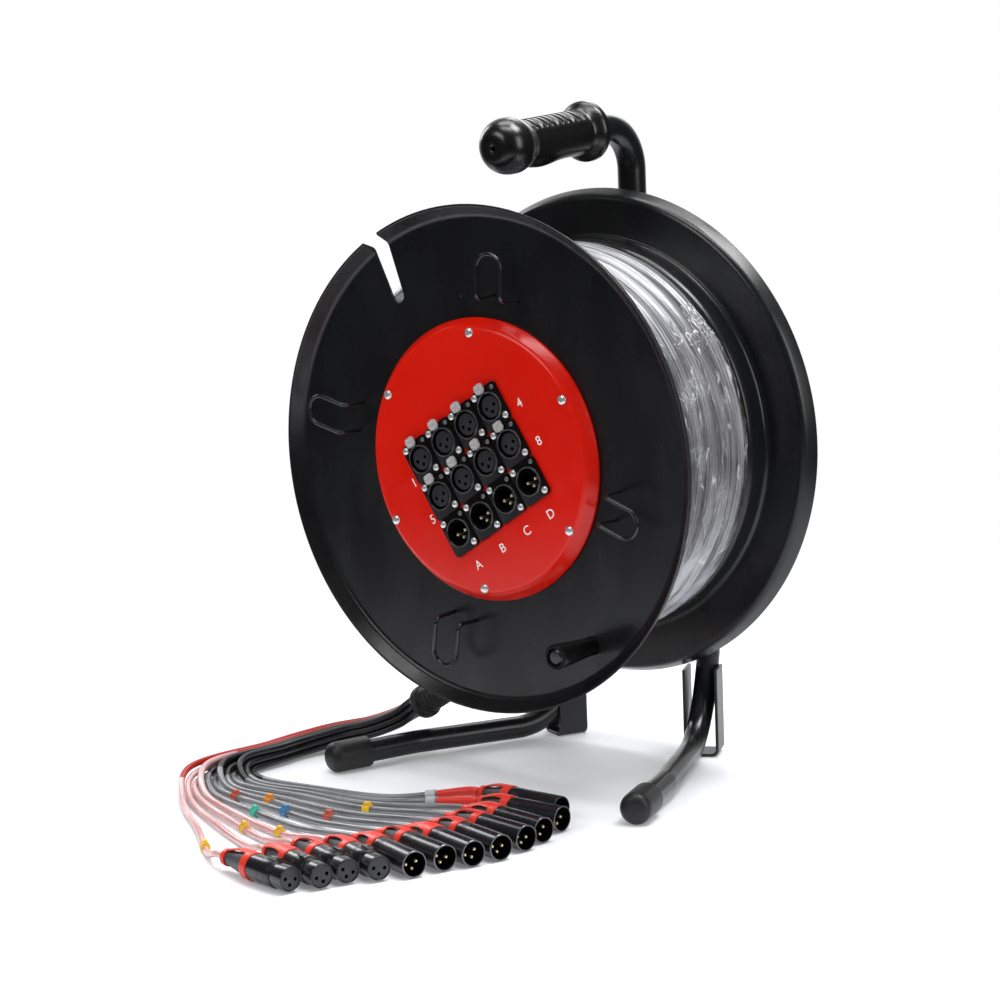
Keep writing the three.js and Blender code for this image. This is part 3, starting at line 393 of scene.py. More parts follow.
# %% [markdown]
# ## Shapes from profiles and routes
# Most of this reel is turned, pressed or bent from tube, so three ways of making a mesh are
# enough: turn a profile round an axis, draw a section along a route, and lay rings of points
# one after another.
# A primitive with modifiers would need many objects for the same result. Each way here rounds
# its own edges, because a sharp edge catches no light.

# %% Profiles with soft corners
def softened(profile, reach=0.5, steps=3, closed=False):
    """The profile with each corner drawn round, over at most that reach along both sides."""
    corners = [Vector(point) for point in profile]
    count = len(corners)
    outline = []
    for i, corner in enumerate(corners):
        if not closed and i in (0, count - 1):
            outline.append(corner)
            continue
        to_last = corners[i - 1] - corner
        to_next = corners[(i + 1) % count] - corner
        if to_last.length < 1e-4 or to_next.length < 1e-4:
            outline.append(corner)
            continue
        near = min(reach, 0.45 * to_last.length, 0.45 * to_next.length)
        start = corner + to_last.normalized() * near
        end = corner + to_next.normalized() * near
        for k in range(steps + 1):
            t = k / steps
            outline.append(start.lerp(corner, t).lerp(corner.lerp(end, t), t))
    return outline


def ring_points(radius, count):
    """Points round a circle in the X and Z directions."""
    angles = [2 * math.pi * i / count for i in range(count)]
    return [(radius * math.cos(a), radius * math.sin(a)) for a in angles]


square_corners = ((1, 1), (-1, 1), (-1, -1), (1, -1))
print("points on a softened square:", len(softened(square_corners, closed=True)))

# %% Meshes in millimetres
sharp_from = 35.0


class Shape:
    """A mesh that grows piece by piece, each piece with its own finish."""

    def __init__(self):
        self.mesh = bmesh.new()
        self.along = self.mesh.loops.layers.uv.new("along")

    def add_rings(self, rings, finish=0, closed=False, capped=(True, True), place=None):
        """Rings of [x, y, z] points joined one after another. A single point closes an end."""
        place = place or Matrix.Identity(4)
        rows = [[self.mesh.verts.new(place @ Vector(point)) for point in ring] for ring in rings]
        pairs = list(zip(rows, rows[1:]))
        if closed:
            pairs.append((rows[-1], rows[0]))
        for first, second in pairs:
            count = max(len(first), len(second))
            for i in range(count):
                j = (i + 1) % count
                corners = [first[i % len(first)], first[j % len(first)]]
                corners += [second[j % len(second)], second[i % len(second)]]
                corners = list(dict.fromkeys(corners))
                if len(corners) > 2:
                    self.mesh.faces.new(corners).material_index = finish
        if not closed:
            for row, wanted in ((rows[0][::-1], capped[0]), (rows[-1], capped[1])):
                if wanted and len(row) > 2:
                    self.mesh.faces.new(row).material_index = finish
        return self

    def add_turned(self, profile, sides=64, finish=0, closed=False, place=None, capped=(False, False)):
        """A profile of [radius, y] points turned round the Y axis."""
        rings = []
        for radius, y in profile:
            if abs(radius) < 1e-6:
                rings.append([(0.0, y, 0.0)])
            else:
                rings.append([(x, y, z) for x, z in ring_points(radius, sides)])
        return self.add_rings(rings, finish, closed, capped, place)

    def add_mesh(self, mesh, finish=0, place=None):
        """Another mesh, in metres, put in at a place."""
        before = set(self.mesh.faces)
        first = len(self.mesh.verts)
        self.mesh.from_mesh(mesh)
        self.mesh.verts.ensure_lookup_table()
        for vertex in self.mesh.verts[first:]:
            vertex.co = (place or Matrix.Identity(4)) @ (vertex.co * 1000.0)
        for face in set(self.mesh.faces) - before:
            face.material_index += finish
        return self

    def to_mesh(self, name, smooth_angle=sharp_from):
        """The finished mesh in metres, faces turned out, smooth up to an angle."""
        bmesh.ops.remove_doubles(self.mesh, verts=self.mesh.verts, dist=1e-4)
        bmesh.ops.recalc_face_normals(self.mesh, faces=self.mesh.faces)
        for vertex in self.mesh.verts:
            vertex.co = vertex.co / 1000.0
        mesh = bpy.data.meshes.new(name)
        self.mesh.to_mesh(mesh)
        self.mesh.free()
        mesh.shade_smooth()
        mesh.set_sharp_from_angle(angle=math.radians(smooth_angle))
        return mesh


print("edges are sharp from", sharp_from, "degrees")

# %% Pieces in the frame
def at_drum(matrix=None):
    """The place of something that is measured from the drum's centre, in millimetres."""
    shift = Matrix.Translation(frame_shift / 1000.0)
    if matrix is None:
        return shift
    moved = matrix.copy()
    moved.translation = matrix.translation / 1000.0
    return shift @ moved


def set_up(name, mesh, finishes, body, replaced=(), place=None):
    """A mesh as a piece: its finishes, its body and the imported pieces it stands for."""
    obj = bpy.data.objects.new(name, mesh)
    bpy.context.collection.objects.link(obj)
    obj.matrix_world = at_drum(place)
    if not mesh.materials:
        for finish in finishes:
            mesh.materials.append(finish)
    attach(obj, body)
    if replaced:
        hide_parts(*replaced)
    return obj


# %% Cuts
def cut_away(mesh, *cutters):
    """The mesh with other meshes cut out of it."""
    body = bpy.data.objects.new("cut_body", mesh)
    bpy.context.collection.objects.link(body)
    tools = []
    for cutter in cutters:
        tool = bpy.data.objects.new("cutter", cutter)
        bpy.context.collection.objects.link(tool)
        boolean = body.modifiers.new("cut", "BOOLEAN")
        boolean.operation = "DIFFERENCE"
        boolean.solver = "EXACT"
        boolean.object = tool
        tools.append(tool)
    bpy.context.view_layer.update()
    result = bpy.data.meshes.new_from_object(body.evaluated_get(bpy.context.evaluated_depsgraph_get()))
    for obj in (body, *tools):
        bpy.data.objects.remove(obj)
    result.shade_smooth()
    result.set_sharp_from_angle(angle=math.radians(sharp_from))
    return result


print("cuts use the exact boolean solver")

# %% [markdown]
# ## Bent wire and tube
# The hooks and the stand's tubes are all bent the same way: straight runs with round bends
# between them. One helper puts the arcs in, and another draws the round section along the route.
# The section is carried along without twist, so that the tube has no pinch at its bends.

# %% Bends and tubes
def bent_route(corners, bend_radius, step=4.0, last_bend=None):
    """Straight runs between the corners, with an arc of that radius in place of each corner."""
    points = [Vector(corner) for corner in corners]
    route = [points[0]]
    for i in range(1, len(points) - 1):
        back_way = (points[i - 1] - points[i]).normalized()
        on_way = (points[i + 1] - points[i]).normalized()
        half = back_way.angle(on_way) / 2
        bend = last_bend if last_bend and i == len(points) - 2 else bend_radius
        centre = points[i] + (back_way + on_way).normalized() * bend / math.sin(half)
        first = points[i] + back_way * bend / math.tan(half) - centre
        last = points[i] + on_way * bend / math.tan(half) - centre
        axis = first.cross(last).normalized()
        sweep = first.angle(last)
        count = max(4, round(bend * sweep / step))
        for k in range(count + 1):
            route.append(Matrix.Rotation(sweep * k / count, 3, axis) @ first + centre)
    route.append(points[-1])
    return route


print("points on one bend:", len(bent_route([(0, 0, 0), (50, 0, 0), (50, 0, 50)], 20.0)))

# %% Tubes along a route
def tube_rings(route, radius, sides):
    """Rings of a round section along a route, carried on without twist."""
    rings = []
    normal = None
    for i, point in enumerate(route):
        ahead = route[min(i + 1, len(route) - 1)]
        behind = route[max(i - 1, 0)]
        tangent = (ahead - behind).normalized()
        if normal is None:
            helper = Vector((0, 0, 1)) if abs(tangent.z) < 0.9 else Vector((1, 0, 0))
            normal = tangent.cross(helper).normalized()
        normal = (normal - tangent * normal.dot(tangent)).normalized()
        side = tangent.cross(normal)
        here = radius(i) if callable(radius) else radius
        rings.append([point + (normal * x + side * z) * here for x, z in ring_points(1.0, sides)])
    return rings


def add_tube(shape, route, radius, sides=24, finish=0, zones=None):
    """A tube whose texture runs along it, in metres. Zones give another finish up to a length."""
    rings = tube_rings(route, radius, sides)
    mesh, layer = shape.mesh, shape.along
    rows = [[mesh.verts.new(point) for point in ring] for ring in rings]
    lengths = [0.0]
    for first, second in zip(route, route[1:]):
        lengths.append(lengths[-1] + (second - first).length)
    around = (radius(0) if callable(radius) else radius) * 2 * math.pi / 1000.0
    for i, (row, next_row) in enumerate(zip(rows, rows[1:])):
        here = finish
        for limit, zone_finish in zones or ():
            if lengths[i] < limit:
                here = zone_finish
                break
        for k in range(sides):
            j = (k + 1) % sides
            face = mesh.faces.new([row[k], row[j], next_row[j], next_row[k]])
            face.material_index = here
            corners = ((i, k), (i, k + 1), (i + 1, k + 1), (i + 1, k))
            for loop, (a, b) in zip(face.loops, corners):
                loop[layer].uv = (lengths[a] / 1000.0, around * b / sides)
    mesh.faces.new(rows[0][::-1]).material_index = zones[0][1] if zones else finish
    mesh.faces.new(rows[-1]).material_index = finish
    return shape


print("tube helpers: tube_rings, add_tube")

# %% [markdown]
# ## The trunk cable
# The trunk comes off the winding's lowest loops and goes down to the boot. A cable of this
# thickness bends in long even curves and never in a corner.
# A curve with a round bevel would do, but its texture would stretch with its length. Here every
# cable is a tube whose texture is measured along it, so one jacket fits all of them.

# %% Routes
cable_diameter = 16.5
trunk_points = [(79.3, -25, -140.2), (62, -25, -148.6), (41.1, -25, -156.2)]
trunk_points += [(0, -23.5, -168), (-43, -21, -177.5)]
boot_rear = over_floor((-84, -18, 63))
boot_mouth = over_floor((-125.7, -11.1, 40.2))
boot_length = 48.0
print("trunk points:", len(trunk_points))

# %% Even curves
dense_steps = 24
route_step = 3.0


def centripetal_route(points, count):
    """Points at even steps on a centripetal Catmull-Rom curve, the kind that the CAD model uses."""
    points = [Vector(p) for p in points]
    ends = [2 * points[0] - points[1], *points, 2 * points[-1] - points[-2]]
    dense = []
    for i in range(1, len(ends) - 2):
        four = ends[i - 1 : i + 3]
        spans = [max((four[k + 1] - four[k]).length ** 0.5, 1e-4) for k in range(3)]
        first = (four[1] - four[0]) / spans[0] - (four[2] - four[0]) / (spans[0] + spans[1])
        first = (first + (four[2] - four[1]) / spans[1]) * spans[1]
        last = (four[2] - four[1]) / spans[1] - (four[3] - four[1]) / (spans[1] + spans[2])
        last = (last + (four[3] - four[2]) / spans[2]) * spans[1]
        for k in range(dense_steps):
            t = k / dense_steps
            h = (2 * t**3 - 3 * t**2 + 1, t**3 - 2 * t**2 + t, -2 * t**3 + 3 * t**2, t**3 - t**2)
            dense.append(h[0] * four[1] + h[1] * first + h[2] * four[2] + h[3] * last)
    dense.append(ends[-2])
    along = [0.0]
    for a, b in zip(dense, dense[1:]):
        along.append(along[-1] + (b - a).length)
    route, k = [], 0
    for step in range(count):
        want = along[-1] * step / (count - 1)
        while k < len(along) - 2 and along[k + 1] < want:
            k += 1
        share = (want - along[k]) / max(along[k + 1] - along[k], 1e-9)
        route.append(dense[k].lerp(dense[k + 1], min(max(share, 0.0), 1.0)))
    return route


def route_length(route):
    """Its length in millimetres."""
    return sum((b - a).length for a, b in zip(route, route[1:]))


def fine_route(route, step):
    """The same line with more points, for a mesh without corners."""
    return centripetal_route(route, max(8, round(route_length(route) / step)))


print("curve helpers: centripetal_route, route_length, fine_route")


def free_cord(name, route, diameter, finishes, sides, zones=None, replaced=(), **facts):
    """A tube along a route. What is known of it as a free cord, its real length and thickness, is worked
    out but not kept.
    """
    fine = fine_route(route, route_step)
    shape = add_tube(Shape(), fine, diameter / 2, sides, zones=zones)
    cord = set_up(name, shape.to_mesh(name, 60.0), finishes, "stand", replaced)
    facts["exit"] = at(*route[0])
    facts["length"] = route_length(fine) / 1000.0
    facts["diameter"] = diameter / 1000.0
    facts["path"] = [at(*point) for point in fine]


boot_back = (boot_rear - boot_mouth).normalized()
boot_end = boot_mouth + boot_back * (seat_gap + boot_length + seat_gap)
trunk_route = centripetal_route([*trunk_points, boot_end + boot_back * cable_diameter / 2, boot_end], 36)
free_cord(
    "trunk_jacket",
    trunk_route,
    cable_diameter,
    [trunk_jacket],
    40,
    replaced=["trunk_cable"],
    far_end="fitting",
    stiffness="stiff",
    lay="hanging",
)
print("trunk length in mm:", round(route_length(trunk_route), 1))

# %% [markdown]
# ## The twelve tails
# The tails leave the boot side by side in a bundle, four columns of three, and part where they
# turn back toward the plugs. Each one is a pair with its own screen and its own jacket. Near the
# boot they wear a thin sleeve, red on the returns and black on the sends.
# A simulation could drop them on the floor. Listed routes keep each tail where the photo has it, and the
# same points make the CAD model's tails.

# %% Tail routes
tail_radius = 2.5
tail_pitch = 5.2
bundle_points = [(-148, -14.5, 27), (-170, -25, 18), (-192, -39, 13), (-203.8, -72, 10), (-204, -104, 10)]
tail_points = [
    [(-218, -182, 14), (-183, -226, 4.8), (-110, -283, 3.7), (-62, -322, 3.7)],
    [(-216, -178, 8.7), (-182, -219, 3.7), (-110, -264, 3.7), (-50, -294, 3.7)],
    [(-214, -174, 3.8), (-181, -212, 3.7), (-110, -250, 3.7), (-50, -275, 3.7)],
    [(-212, -170, 14), (-180, -205, 4.8), (-110, -238, 3.7), (-50, -258, 3.7)],
    [(-210, -165, 8.7), (-179, -198, 3.7), (-110, -224, 3.7), (-50, -239, 3.7)],
    [(-208, -161, 3.8), (-178, -191, 3.7), (-110, -208, 3.7), (-50, -220, 3.7)],
    [(-206, -157, 14), (-177, -184, 4.8), (-110, -197, 3.7), (-50, -206, 3.7)],
    [(-203, -153, 8.7), (-176, -178, 3.7), (-110, -186, 3.7), (-50, -191, 3.7)],
    [(-201, -149, 3.8), (-175, -171, 3.7), (-110, -173, 3.7), (-50, -175, 3.7)],
    [(-199, -144, 14), (-174, -164, 4.8), (-110, -165, 3.7), (-50, -163, 3.7)],
    [(-197, -140, 8.7), (-173, -157, 3.7), (-110, -157, 3.7), (-50, -152, 3.7)],
    [(-195, -136, 3.8), (-172, -150, 3.7), (-110, -150, 3.7), (-50, -140, 3.7)],
]
plug_places = [
    ("return_plug_a", 45.8, -353.4, -12.3),
    ("return_plug_b", 59, -336.6, -19.3),
    ("return_plug_c", 66.3, -318.1, -21),
    ("return_plug_d", 80.2, -302, -22.4),
    ("send_plug_1", 95, -282.6, -20.2),
    ("send_plug_2", 103, -259.4, -17),
    ("send_plug_3", 113, -241, -17.9),
    ("send_plug_4", 120, -219.3, -16.6),
    ("send_plug_5", 120.4, -191.7, -10.7),
    ("send_plug_6", 118.3, -169.3, -10.3),
    ("send_plug_7", 111.8, -139.4, -1.9),
    ("send_plug_8", 95, -118.8, -3.1),
]
print("tails:", len(tail_points))

# %% Tails from boot to plug
plug_length = 78.0
plug_ring_radius = 10.2


def plug_rear(place, behind):
    """A place on the plug's axis, so far behind its front."""
    name, x, y, heading = place
    turn = math.radians(heading)
    return over_floor((x - behind * math.cos(turn), y - behind * math.sin(turn), plug_ring_radius))


def slot_route(slot_out, slot_up, count):
    """The bundle's centreline moved sideways and up to one tail's place in its section."""
    into = (boot_mouth - boot_rear).normalized()
    first = boot_mouth + into * 2 * seat_gap
    second = boot_mouth + into * 4 * tail_radius
    centre = centripetal_route([first, second, *map(over_floor, bundle_points)], count)
    moved = []
    for i, place in enumerate(centre):
        heading = (centre[min(i + 1, count - 1)] - centre[max(i - 1, 0)]).normalized()
        outward = heading.cross(Vector((0, 0, 1))).normalized()
        upward = outward.cross(heading)
        moved.append(place + outward * slot_out + upward * slot_up)
    return moved


tail_routes = []
for i, place in enumerate(plug_places):
    bundled = slot_route((1.5 - i // 3) * tail_pitch, (1 - i % 3) * tail_pitch, 14)
    free = [over_floor(point) for point in tail_points[i]]
    approach = plug_rear(place, plug_length + 4 * tail_radius)
    rear = plug_rear(place, plug_length + seat_gap)
    loose = centripetal_route([bundled[-2], bundled[-1], *free, approach, rear], 27)
    start = next(k for k, p in enumerate(loose) if (p - bundled[-1]).length > 8 and p.y < bundled[-1].y)
    tail_routes.append(bundled + loose[start:])
print("points on the tails:", [len(route) for route in tail_routes])

# %% Tails with their sleeves
red_sleeve_length = (258.0, 190.0, 176.0, 180.0)
black_sleeve_length = (222.0, 214.0, 204.0, 210.0, 196.0, 204.0, 190.0, 198.0)
for i, (route, place) in enumerate(zip(tail_routes, plug_places)):
    is_return = i < 4
    sleeve = red_sleeve_length[i] if is_return else black_sleeve_length[i - 4]
    free_cord(
        f"tail_{place[0]}",
        route,
        2 * tail_radius,
        [pink_tail, red_sleeve] if is_return else [grey_tail, black_sleeve],
        20,
        zones=[(sleeve, 1)],
        replaced=["breakout_tails"] if i == 0 else (),
        far_end="plug",
        stiffness="medium",
        lay="loose",
    )
print("tail lengths in mm:", [round(route_length(r)) for r in tail_routes])

# %% [markdown]
# ## The front flange
# The flange is a steel disc whose rim is pressed outward. A slot, cut from the rim, lets the
# cable's end out of the winding.
# The disc is turned from its profile and the slot is cut by a boolean, as a press would punch
# it. Modelling the slot into the rings by hand would leave its edge jagged on the sloping rim.

# %% Flange sizes
flange_radius = 190.0
drum_width = 166.6
sheet = 2.0
lip_depth = 10.0
lip_width = 9.0
flange_bore = 88.0
face_y = -drum_width / 2 + lip_depth
inner_front_y = face_y + sheet
rear_face_y = -face_y
slot_depth = 47.2
slot_foot_angle = 123.6
slot_mouth_angle = 120.7
slot_widths = (11.0, 17.0)
lip_foot = flange_radius - lip_width
turned_sides = 160
slot_clearance = 8.0


def on_drum(radius, angle, y):
    """A place by its distance and direction from the drum's axis, seen from the front."""
    turn = math.radians(angle)
    return Vector((radius * math.cos(turn), y, radius * math.sin(turn)))


print("flange radius in mm:", flange_radius)

# %% Front flange
def slot_cutter():
    """A wedge with a round foot, longer than the slot and thicker than the flange."""
    foot = on_drum(flange_radius - slot_depth, slot_foot_angle, 0)
    mouth = on_drum(flange_radius, slot_mouth_angle, 0)
    along = (mouth - foot).normalized()
    across = along.cross(Vector((0, 1, 0))).normalized()
    past = mouth + along * slot_clearance
    outline = []
    for k in range(17):
        turn = math.pi * k / 16
        outline.append(foot + slot_widths[0] / 2 * (across * math.cos(turn) - along * math.sin(turn)))
    outline.append(past - across * slot_widths[1] / 2)
    outline.append(past + across * slot_widths[1] / 2)
    front, rear = face_y - lip_depth - slot_clearance, inner_front_y + slot_clearance
    rings = [[(p.x, y, p.z) for p in outline] for y in (front, rear)]
    return Shape().add_rings(rings).to_mesh("slot_cutter")


def front_flange():
    rim_y = face_y - lip_depth
    profile = [(flange_bore, face_y), (lip_foot, face_y), (flange_radius - sheet, rim_y)]
    profile += [(flange_radius, rim_y), (lip_foot + 2 * sheet, inner_front_y)]
    profile = softened([*profile, (flange_bore, inner_front_y)], reach=3.0, steps=6, closed=True)
    disc = Shape().add_turned(profile, turned_sides, closed=True).to_mesh("front_flange_disc")
    return cut_away(disc, slot_cutter())


set_up("front_flange_enamel", front_flange(), [enamel], "drum", ["front_flange"])
print("slot reaches in to radius", round(flange_radius - slot_depth - slot_widths[0] / 2, 1))

# %% [markdown]
# ## The rear flange
# The rear flange has the same rim. A wide step is pressed toward the winding, so that the
# bearing sits inside the drum's width.
# The step could be a second disc. One profile turns flange and step together, with the same
# sheet thickness all the way, and soft bends where the press has bent it.

# %% Rear flange
step_radius = 152.0
step_depth = 22.0
step_face_y = rear_face_y - sheet - step_depth
step_bend = 5.0
step_bend_cut = 1.4
bearing_radius = 17.0


def rear_flange():
    bore = bearing_radius + seat_gap
    rim_y = rear_face_y + lip_depth
    profile = [(bore, step_face_y), (step_radius - step_bend, step_face_y)]
    profile += [(step_radius - step_bend_cut, step_face_y + step_bend_cut)]
    profile += [(step_radius, step_face_y + step_bend), (step_radius, rear_face_y - sheet)]
    profile += [(lip_foot + 2 * sheet, rear_face_y - sheet), (flange_radius, rim_y)]
    profile += [(flange_radius - sheet, rim_y), (lip_foot, rear_face_y), (step_radius - sheet, rear_face_y)]
    profile += [(step_radius - 2 * sheet, step_face_y + sheet), (bore, step_face_y + sheet)]
    profile = softened(profile, reach=4.5, steps=8, closed=True)
    return Shape().add_turned(profile, turned_sides, closed=True).to_mesh("rear_flange_disc")


set_up("rear_flange_enamel", rear_flange(), [enamel], "drum", ["rear_flange"])
print("width over both rims in mm:", round(2 * (rear_face_y + lip_depth), 1))

# %% [markdown]
# ## The drum's core
# A steel tube joins the two flanges, and the first layer of cable lies on it. The winding hides
# it, so a plain turned tube is enough.

# %% Drum core
core_radius = 82.0


def drum_core():
    from_y, to_y = inner_front_y + seat_gap, step_face_y - seat_gap
    inside = core_radius - sheet
    profile = [(inside, from_y), (core_radius, from_y), (core_radius, to_y), (inside, to_y)]
    return Shape().add_turned(softened(profile, 0.6, 3, True), 96, closed=True).to_mesh("core_tube")


set_up("drum_core_enamel", drum_core(), [enamel], "drum", ["drum_core"])
print("core radius in mm:", core_radius)

# %% [markdown]
# ## The connector panel
# The red panel is a shallow pressed dish. Its rim slopes back to the flange with one soft
# radius, and twelve round holes take the sockets.
# The holes are cut, although plates cover them: the panel would otherwise show red inside the
# open sockets. The holes and the sockets take their places from one helper.

# %% Panel sizes and places
panel_radius = 106.0
panel_bevel = 6.5
panel_rise = 10.7
panel_y = face_y - panel_rise
grid_turn = 32.5
grid_centre = Vector((-0.8, 0.0, -6.2))
column_pitch = 27.0
row_pitch = 31.5
plate_thickness = 2.4
plate_y = panel_y - seat_gap - plate_thickness
barrel_radius = 10.8
grid_place = Matrix.Translation(grid_centre + Vector((0, plate_y, 0))) @ Matrix.Rotation(
    math.radians(-grid_turn), 4, "Y"
)


def connector_place(row, column):
    """The place of one socket, its plate's face at y = 0."""
    x = (column - 1.5) * column_pitch
    z = (1 - row) * row_pitch
    return grid_place @ Matrix.Translation((x, 0, z))


print("sockets sit", column_pitch, "by", row_pitch, "mm apart")

# %% Panel
def connector_panel():
    seat_y = face_y - seat_gap
    flat = panel_radius - panel_bevel
    profile = [(0, panel_y), (flat, panel_y), (panel_radius, seat_y - sheet), (panel_radius, seat_y)]
    profile += [(panel_radius - sheet, seat_y), (flat - sheet / 2, panel_y + sheet), (0, panel_y + sheet)]
    dish = Shape().add_turned(softened(profile, reach=3.0, steps=6), 144).to_mesh("panel_dish")
    holes = Shape()
    hole_radius = barrel_radius + seat_gap
    bore = [(0, -2.0), (hole_radius, -2.0), (hole_radius, 10.0), (0, 10.0)]
    for row in range(3):
        for column in range(4):
            holes.add_turned(bore, 24, place=connector_place(row, column))
    return cut_away(dish, holes.to_mesh("panel_holes"))


set_up("panel_lacquer", connector_panel(), [lacquer], "drum", ["connector_panel"])
print("panel stands before the flange by", panel_rise, "mm")

# %% [markdown]
# ## Screws
# Cross-head screws hold the panel and the sockets. A pan head is a low dome with a cross pressed
# into it, and its dark cross is what shows from a step away.
# A bump map could draw the cross, but it would not catch light in its walls. The cross is cut
# once, and every screw of a kind shares the mesh.

# %% Screw meshes
def cross_screw(name, radius, height):
    """A low dome with a tapered cross cut into it."""
    dome = [(0.0, -height)]
    for k in range(1, 7):
        turn = math.pi / 2 * k / 6
        dome.append((radius * math.sin(turn) ** 0.8, -height * math.cos(turn) ** 0.7))
    head = Shape().add_turned([*dome, (radius, 0.3), (0, 0.3)], 32).to_mesh(f"{name}_dome")
    cross = Shape()
    for half_x, half_z in ((0.55 * radius, 0.12 * radius), (0.12 * radius, 0.55 * radius)):
        rings = []
        for y, share in ((-height - 0.5, 1.0), (-0.35 * height, 0.55)):
            rings.append([(sx * half_x * share, y, sz * half_z * share) for sx, sz in square_corners])
        cross.add_rings(rings)
    return cut_away(head, cross.to_mesh(f"{name}_cross"))


def hex_socket_screw(name, radius, height):
    """A round head with a six-sided socket, whose floor lies a fifth of the height up."""
    shape = Shape()
    hexagon = ring_points(0.5 * radius, 6)
    mouth, rim = ring_points(0.5 * radius, 24), ring_points(0.6 * radius, 24)
    floor, face = -0.2 * height, -height
    shape.add_rings([[(x, y, z) for x, z in hexagon] for y in (floor, face)], capped=(True, False))
    head = [(0.6 * radius, face), (radius, face), (radius, 0.3), (0, 0.3)]
    shape.add_turned(softened(head, 0.3), 24)
    shape.add_rings([[(x, face, z) for x, z in ring] for ring in (mouth, rim)], capped=(False, False))
    return shape.to_mesh(name)


panel_screw = cross_screw("panel_screw", 3.6, 1.7)
plate_screw = cross_screw("plate_screw", 2.7, 1.3)
lock_screw = hex_socket_screw("lock_screw", 1.7, 0.8)
print("faces of one panel screw:", len(panel_screw.polygons))

# %% Panel screws
panel_screw_circle = 95.5
panel_screw_start = 91.7
for k in range(6):
    spot = on_drum(panel_screw_circle, panel_screw_start + 60 * k, panel_y)
    turned_so = Matrix.Translation(spot) @ Matrix.Rotation(math.radians(17 + 47 * k), 4, "Y")
    set_up(f"panel_screw_{k + 1}", panel_screw, [bright_steel], "drum", place=turned_so)
print("panel screws on a circle of", 2 * panel_screw_circle, "mm")

# %% [markdown]
# ## The sockets
# Each socket is a moulded plate of 26 by 31 mm with round corners, a raised ring, and inside it
# either a rubber insert with three contact holes or an open cup with three pins.
# The plate's outline and the round ring have the same number of points, so one run of rings
# makes the whole front, with no boolean where the light falls.

# %% Socket sizes
plate_size = (26.0, 31.0)
plate_corner = 3.0
socket_radius = 9.6
barrel_rise = 1.2
barrel_depth = 21.0
socket_depth = 12.0
insert_radius = 8.2
insert_front = 0.3
contact_circle = 4.1
contact_hole = 1.35
contact_spots = [(-contact_circle, 0.0), (contact_circle, 0.0), (0.0, -contact_circle)]
pin_radius = 1.25
pin_length = 9.5
pin_nose = ((0, 0), (0.7, 0.12), (1.1, 0.5), (pin_radius, 1.1), (pin_radius, 1.6))
outline_count = 120
print("contacts on a circle of", 2 * contact_circle, "mm")

# %% Plate, ring and barrel
def plate_outline(inset):
    """Points of the rounded plate, one for each direction from its centre."""
    half_x, half_z = plate_size[0] / 2 - inset, plate_size[1] / 2 - inset
    corner = max(plate_corner - inset, 0.4)
    points = []
    for i in range(outline_count):
        turn = 2 * math.pi * i / outline_count
        ray = Vector((math.cos(turn), math.sin(turn)))
        low, high = 0.0, half_x + half_z
        for _ in range(30):
            middle = (low + high) / 2
            out = Vector((abs(ray.x * middle) - half_x + corner, abs(ray.y * middle) - half_z + corner))
            past = Vector((max(out.x, 0), max(out.y, 0))).length + min(max(out.x, out.y), 0) - corner
            low, high = (middle, high) if past < 0 else (low, middle)
        points.append((ray.x * low, ray.y * low))
    return points


def plate_ring(inset, y):
    return [(x, y, z) for x, z in plate_outline(inset)]


def round_ring(radius, y):
    return [(x, y, z) for x, z in ring_points(radius, outline_count)]


def socket_body(depth):
    """The plate, the ring and the barrel, open at the front down to a depth."""
    shape = Shape()
    rings = [round_ring(barrel_radius, plate_thickness), plate_ring(0.15, plate_thickness)]
    rings += [plate_ring(0.0, plate_thickness - 0.3), plate_ring(0.0, 0.45), plate_ring(0.12, 0.12)]
    rings += [plate_ring(0.45, 0.0), round_ring(barrel_radius + 0.9, 0.0)]
    rings += [round_ring(barrel_radius + 0.3, -0.25), round_ring(barrel_radius, -barrel_rise + 0.4)]
    rings += [round_ring(barrel_radius - 0.2, -barrel_rise), round_ring(socket_radius + 0.25, -barrel_rise)]
    rings += [round_ring(socket_radius, -barrel_rise + 0.4), round_ring(socket_radius, depth)]
    rings += [[(0.0, depth, 0.0)]]
    shape.add_rings(rings, capped=(False, False))
    # painted highlight: two thin rings of lighter steel on the edges of the raised ring stand for its
    # highlight arcs
    painted_highlight_edges = (
        (barrel_radius - 0.02, -barrel_rise + 0.3, 0.5),
        (socket_radius + 0.6, -barrel_rise - 0.02, 0.0),
    )
    for radius, y, drop in painted_highlight_edges:
        edge = [(radius, y), (radius + 0.12, y - 0.1), (radius + 0.24, y + drop), (radius, y + drop + 0.1)]
        shape.add_turned(edge, 96, 4, closed=True)
    barrel = [(barrel_radius, plate_thickness), (barrel_radius, barrel_depth), (0, barrel_depth)]
    shape.add_turned(softened(barrel, 0.6), 48)
    return shape


print("points round a plate:", len(plate_outline(0.0)))

# %% Contacts
def contact_insert(name, radius, front_y, depth):
    """A rubber disc with three contact holes, each with a well painted near-black as shade."""
    back_y = front_y + depth
    profile = softened([(0, front_y), (radius, front_y), (radius, back_y), (0, back_y)], 0.5)
    disc = Shape().add_turned(profile, 64).to_mesh(f"{name}_disc")
    wells = Shape()
    well = [(0, front_y - 1), (contact_hole, front_y - 1), (contact_hole, front_y + 6), (0, front_y + 6)]
    for x, z in contact_spots:
        wells.add_turned(well, 20, place=Matrix.Translation((x, 0, z)))
    cut = cut_away(disc, wells.to_mesh(f"{name}_wells"))
    for face in cut.polygons:
        centre = face.center * 1000
        close = any(math.hypot(centre.x - x, centre.z - z) < contact_hole + 0.1 for x, z in contact_spots)
        face.material_index = 1 if close and centre.y > front_y + 0.3 else 0
    return cut


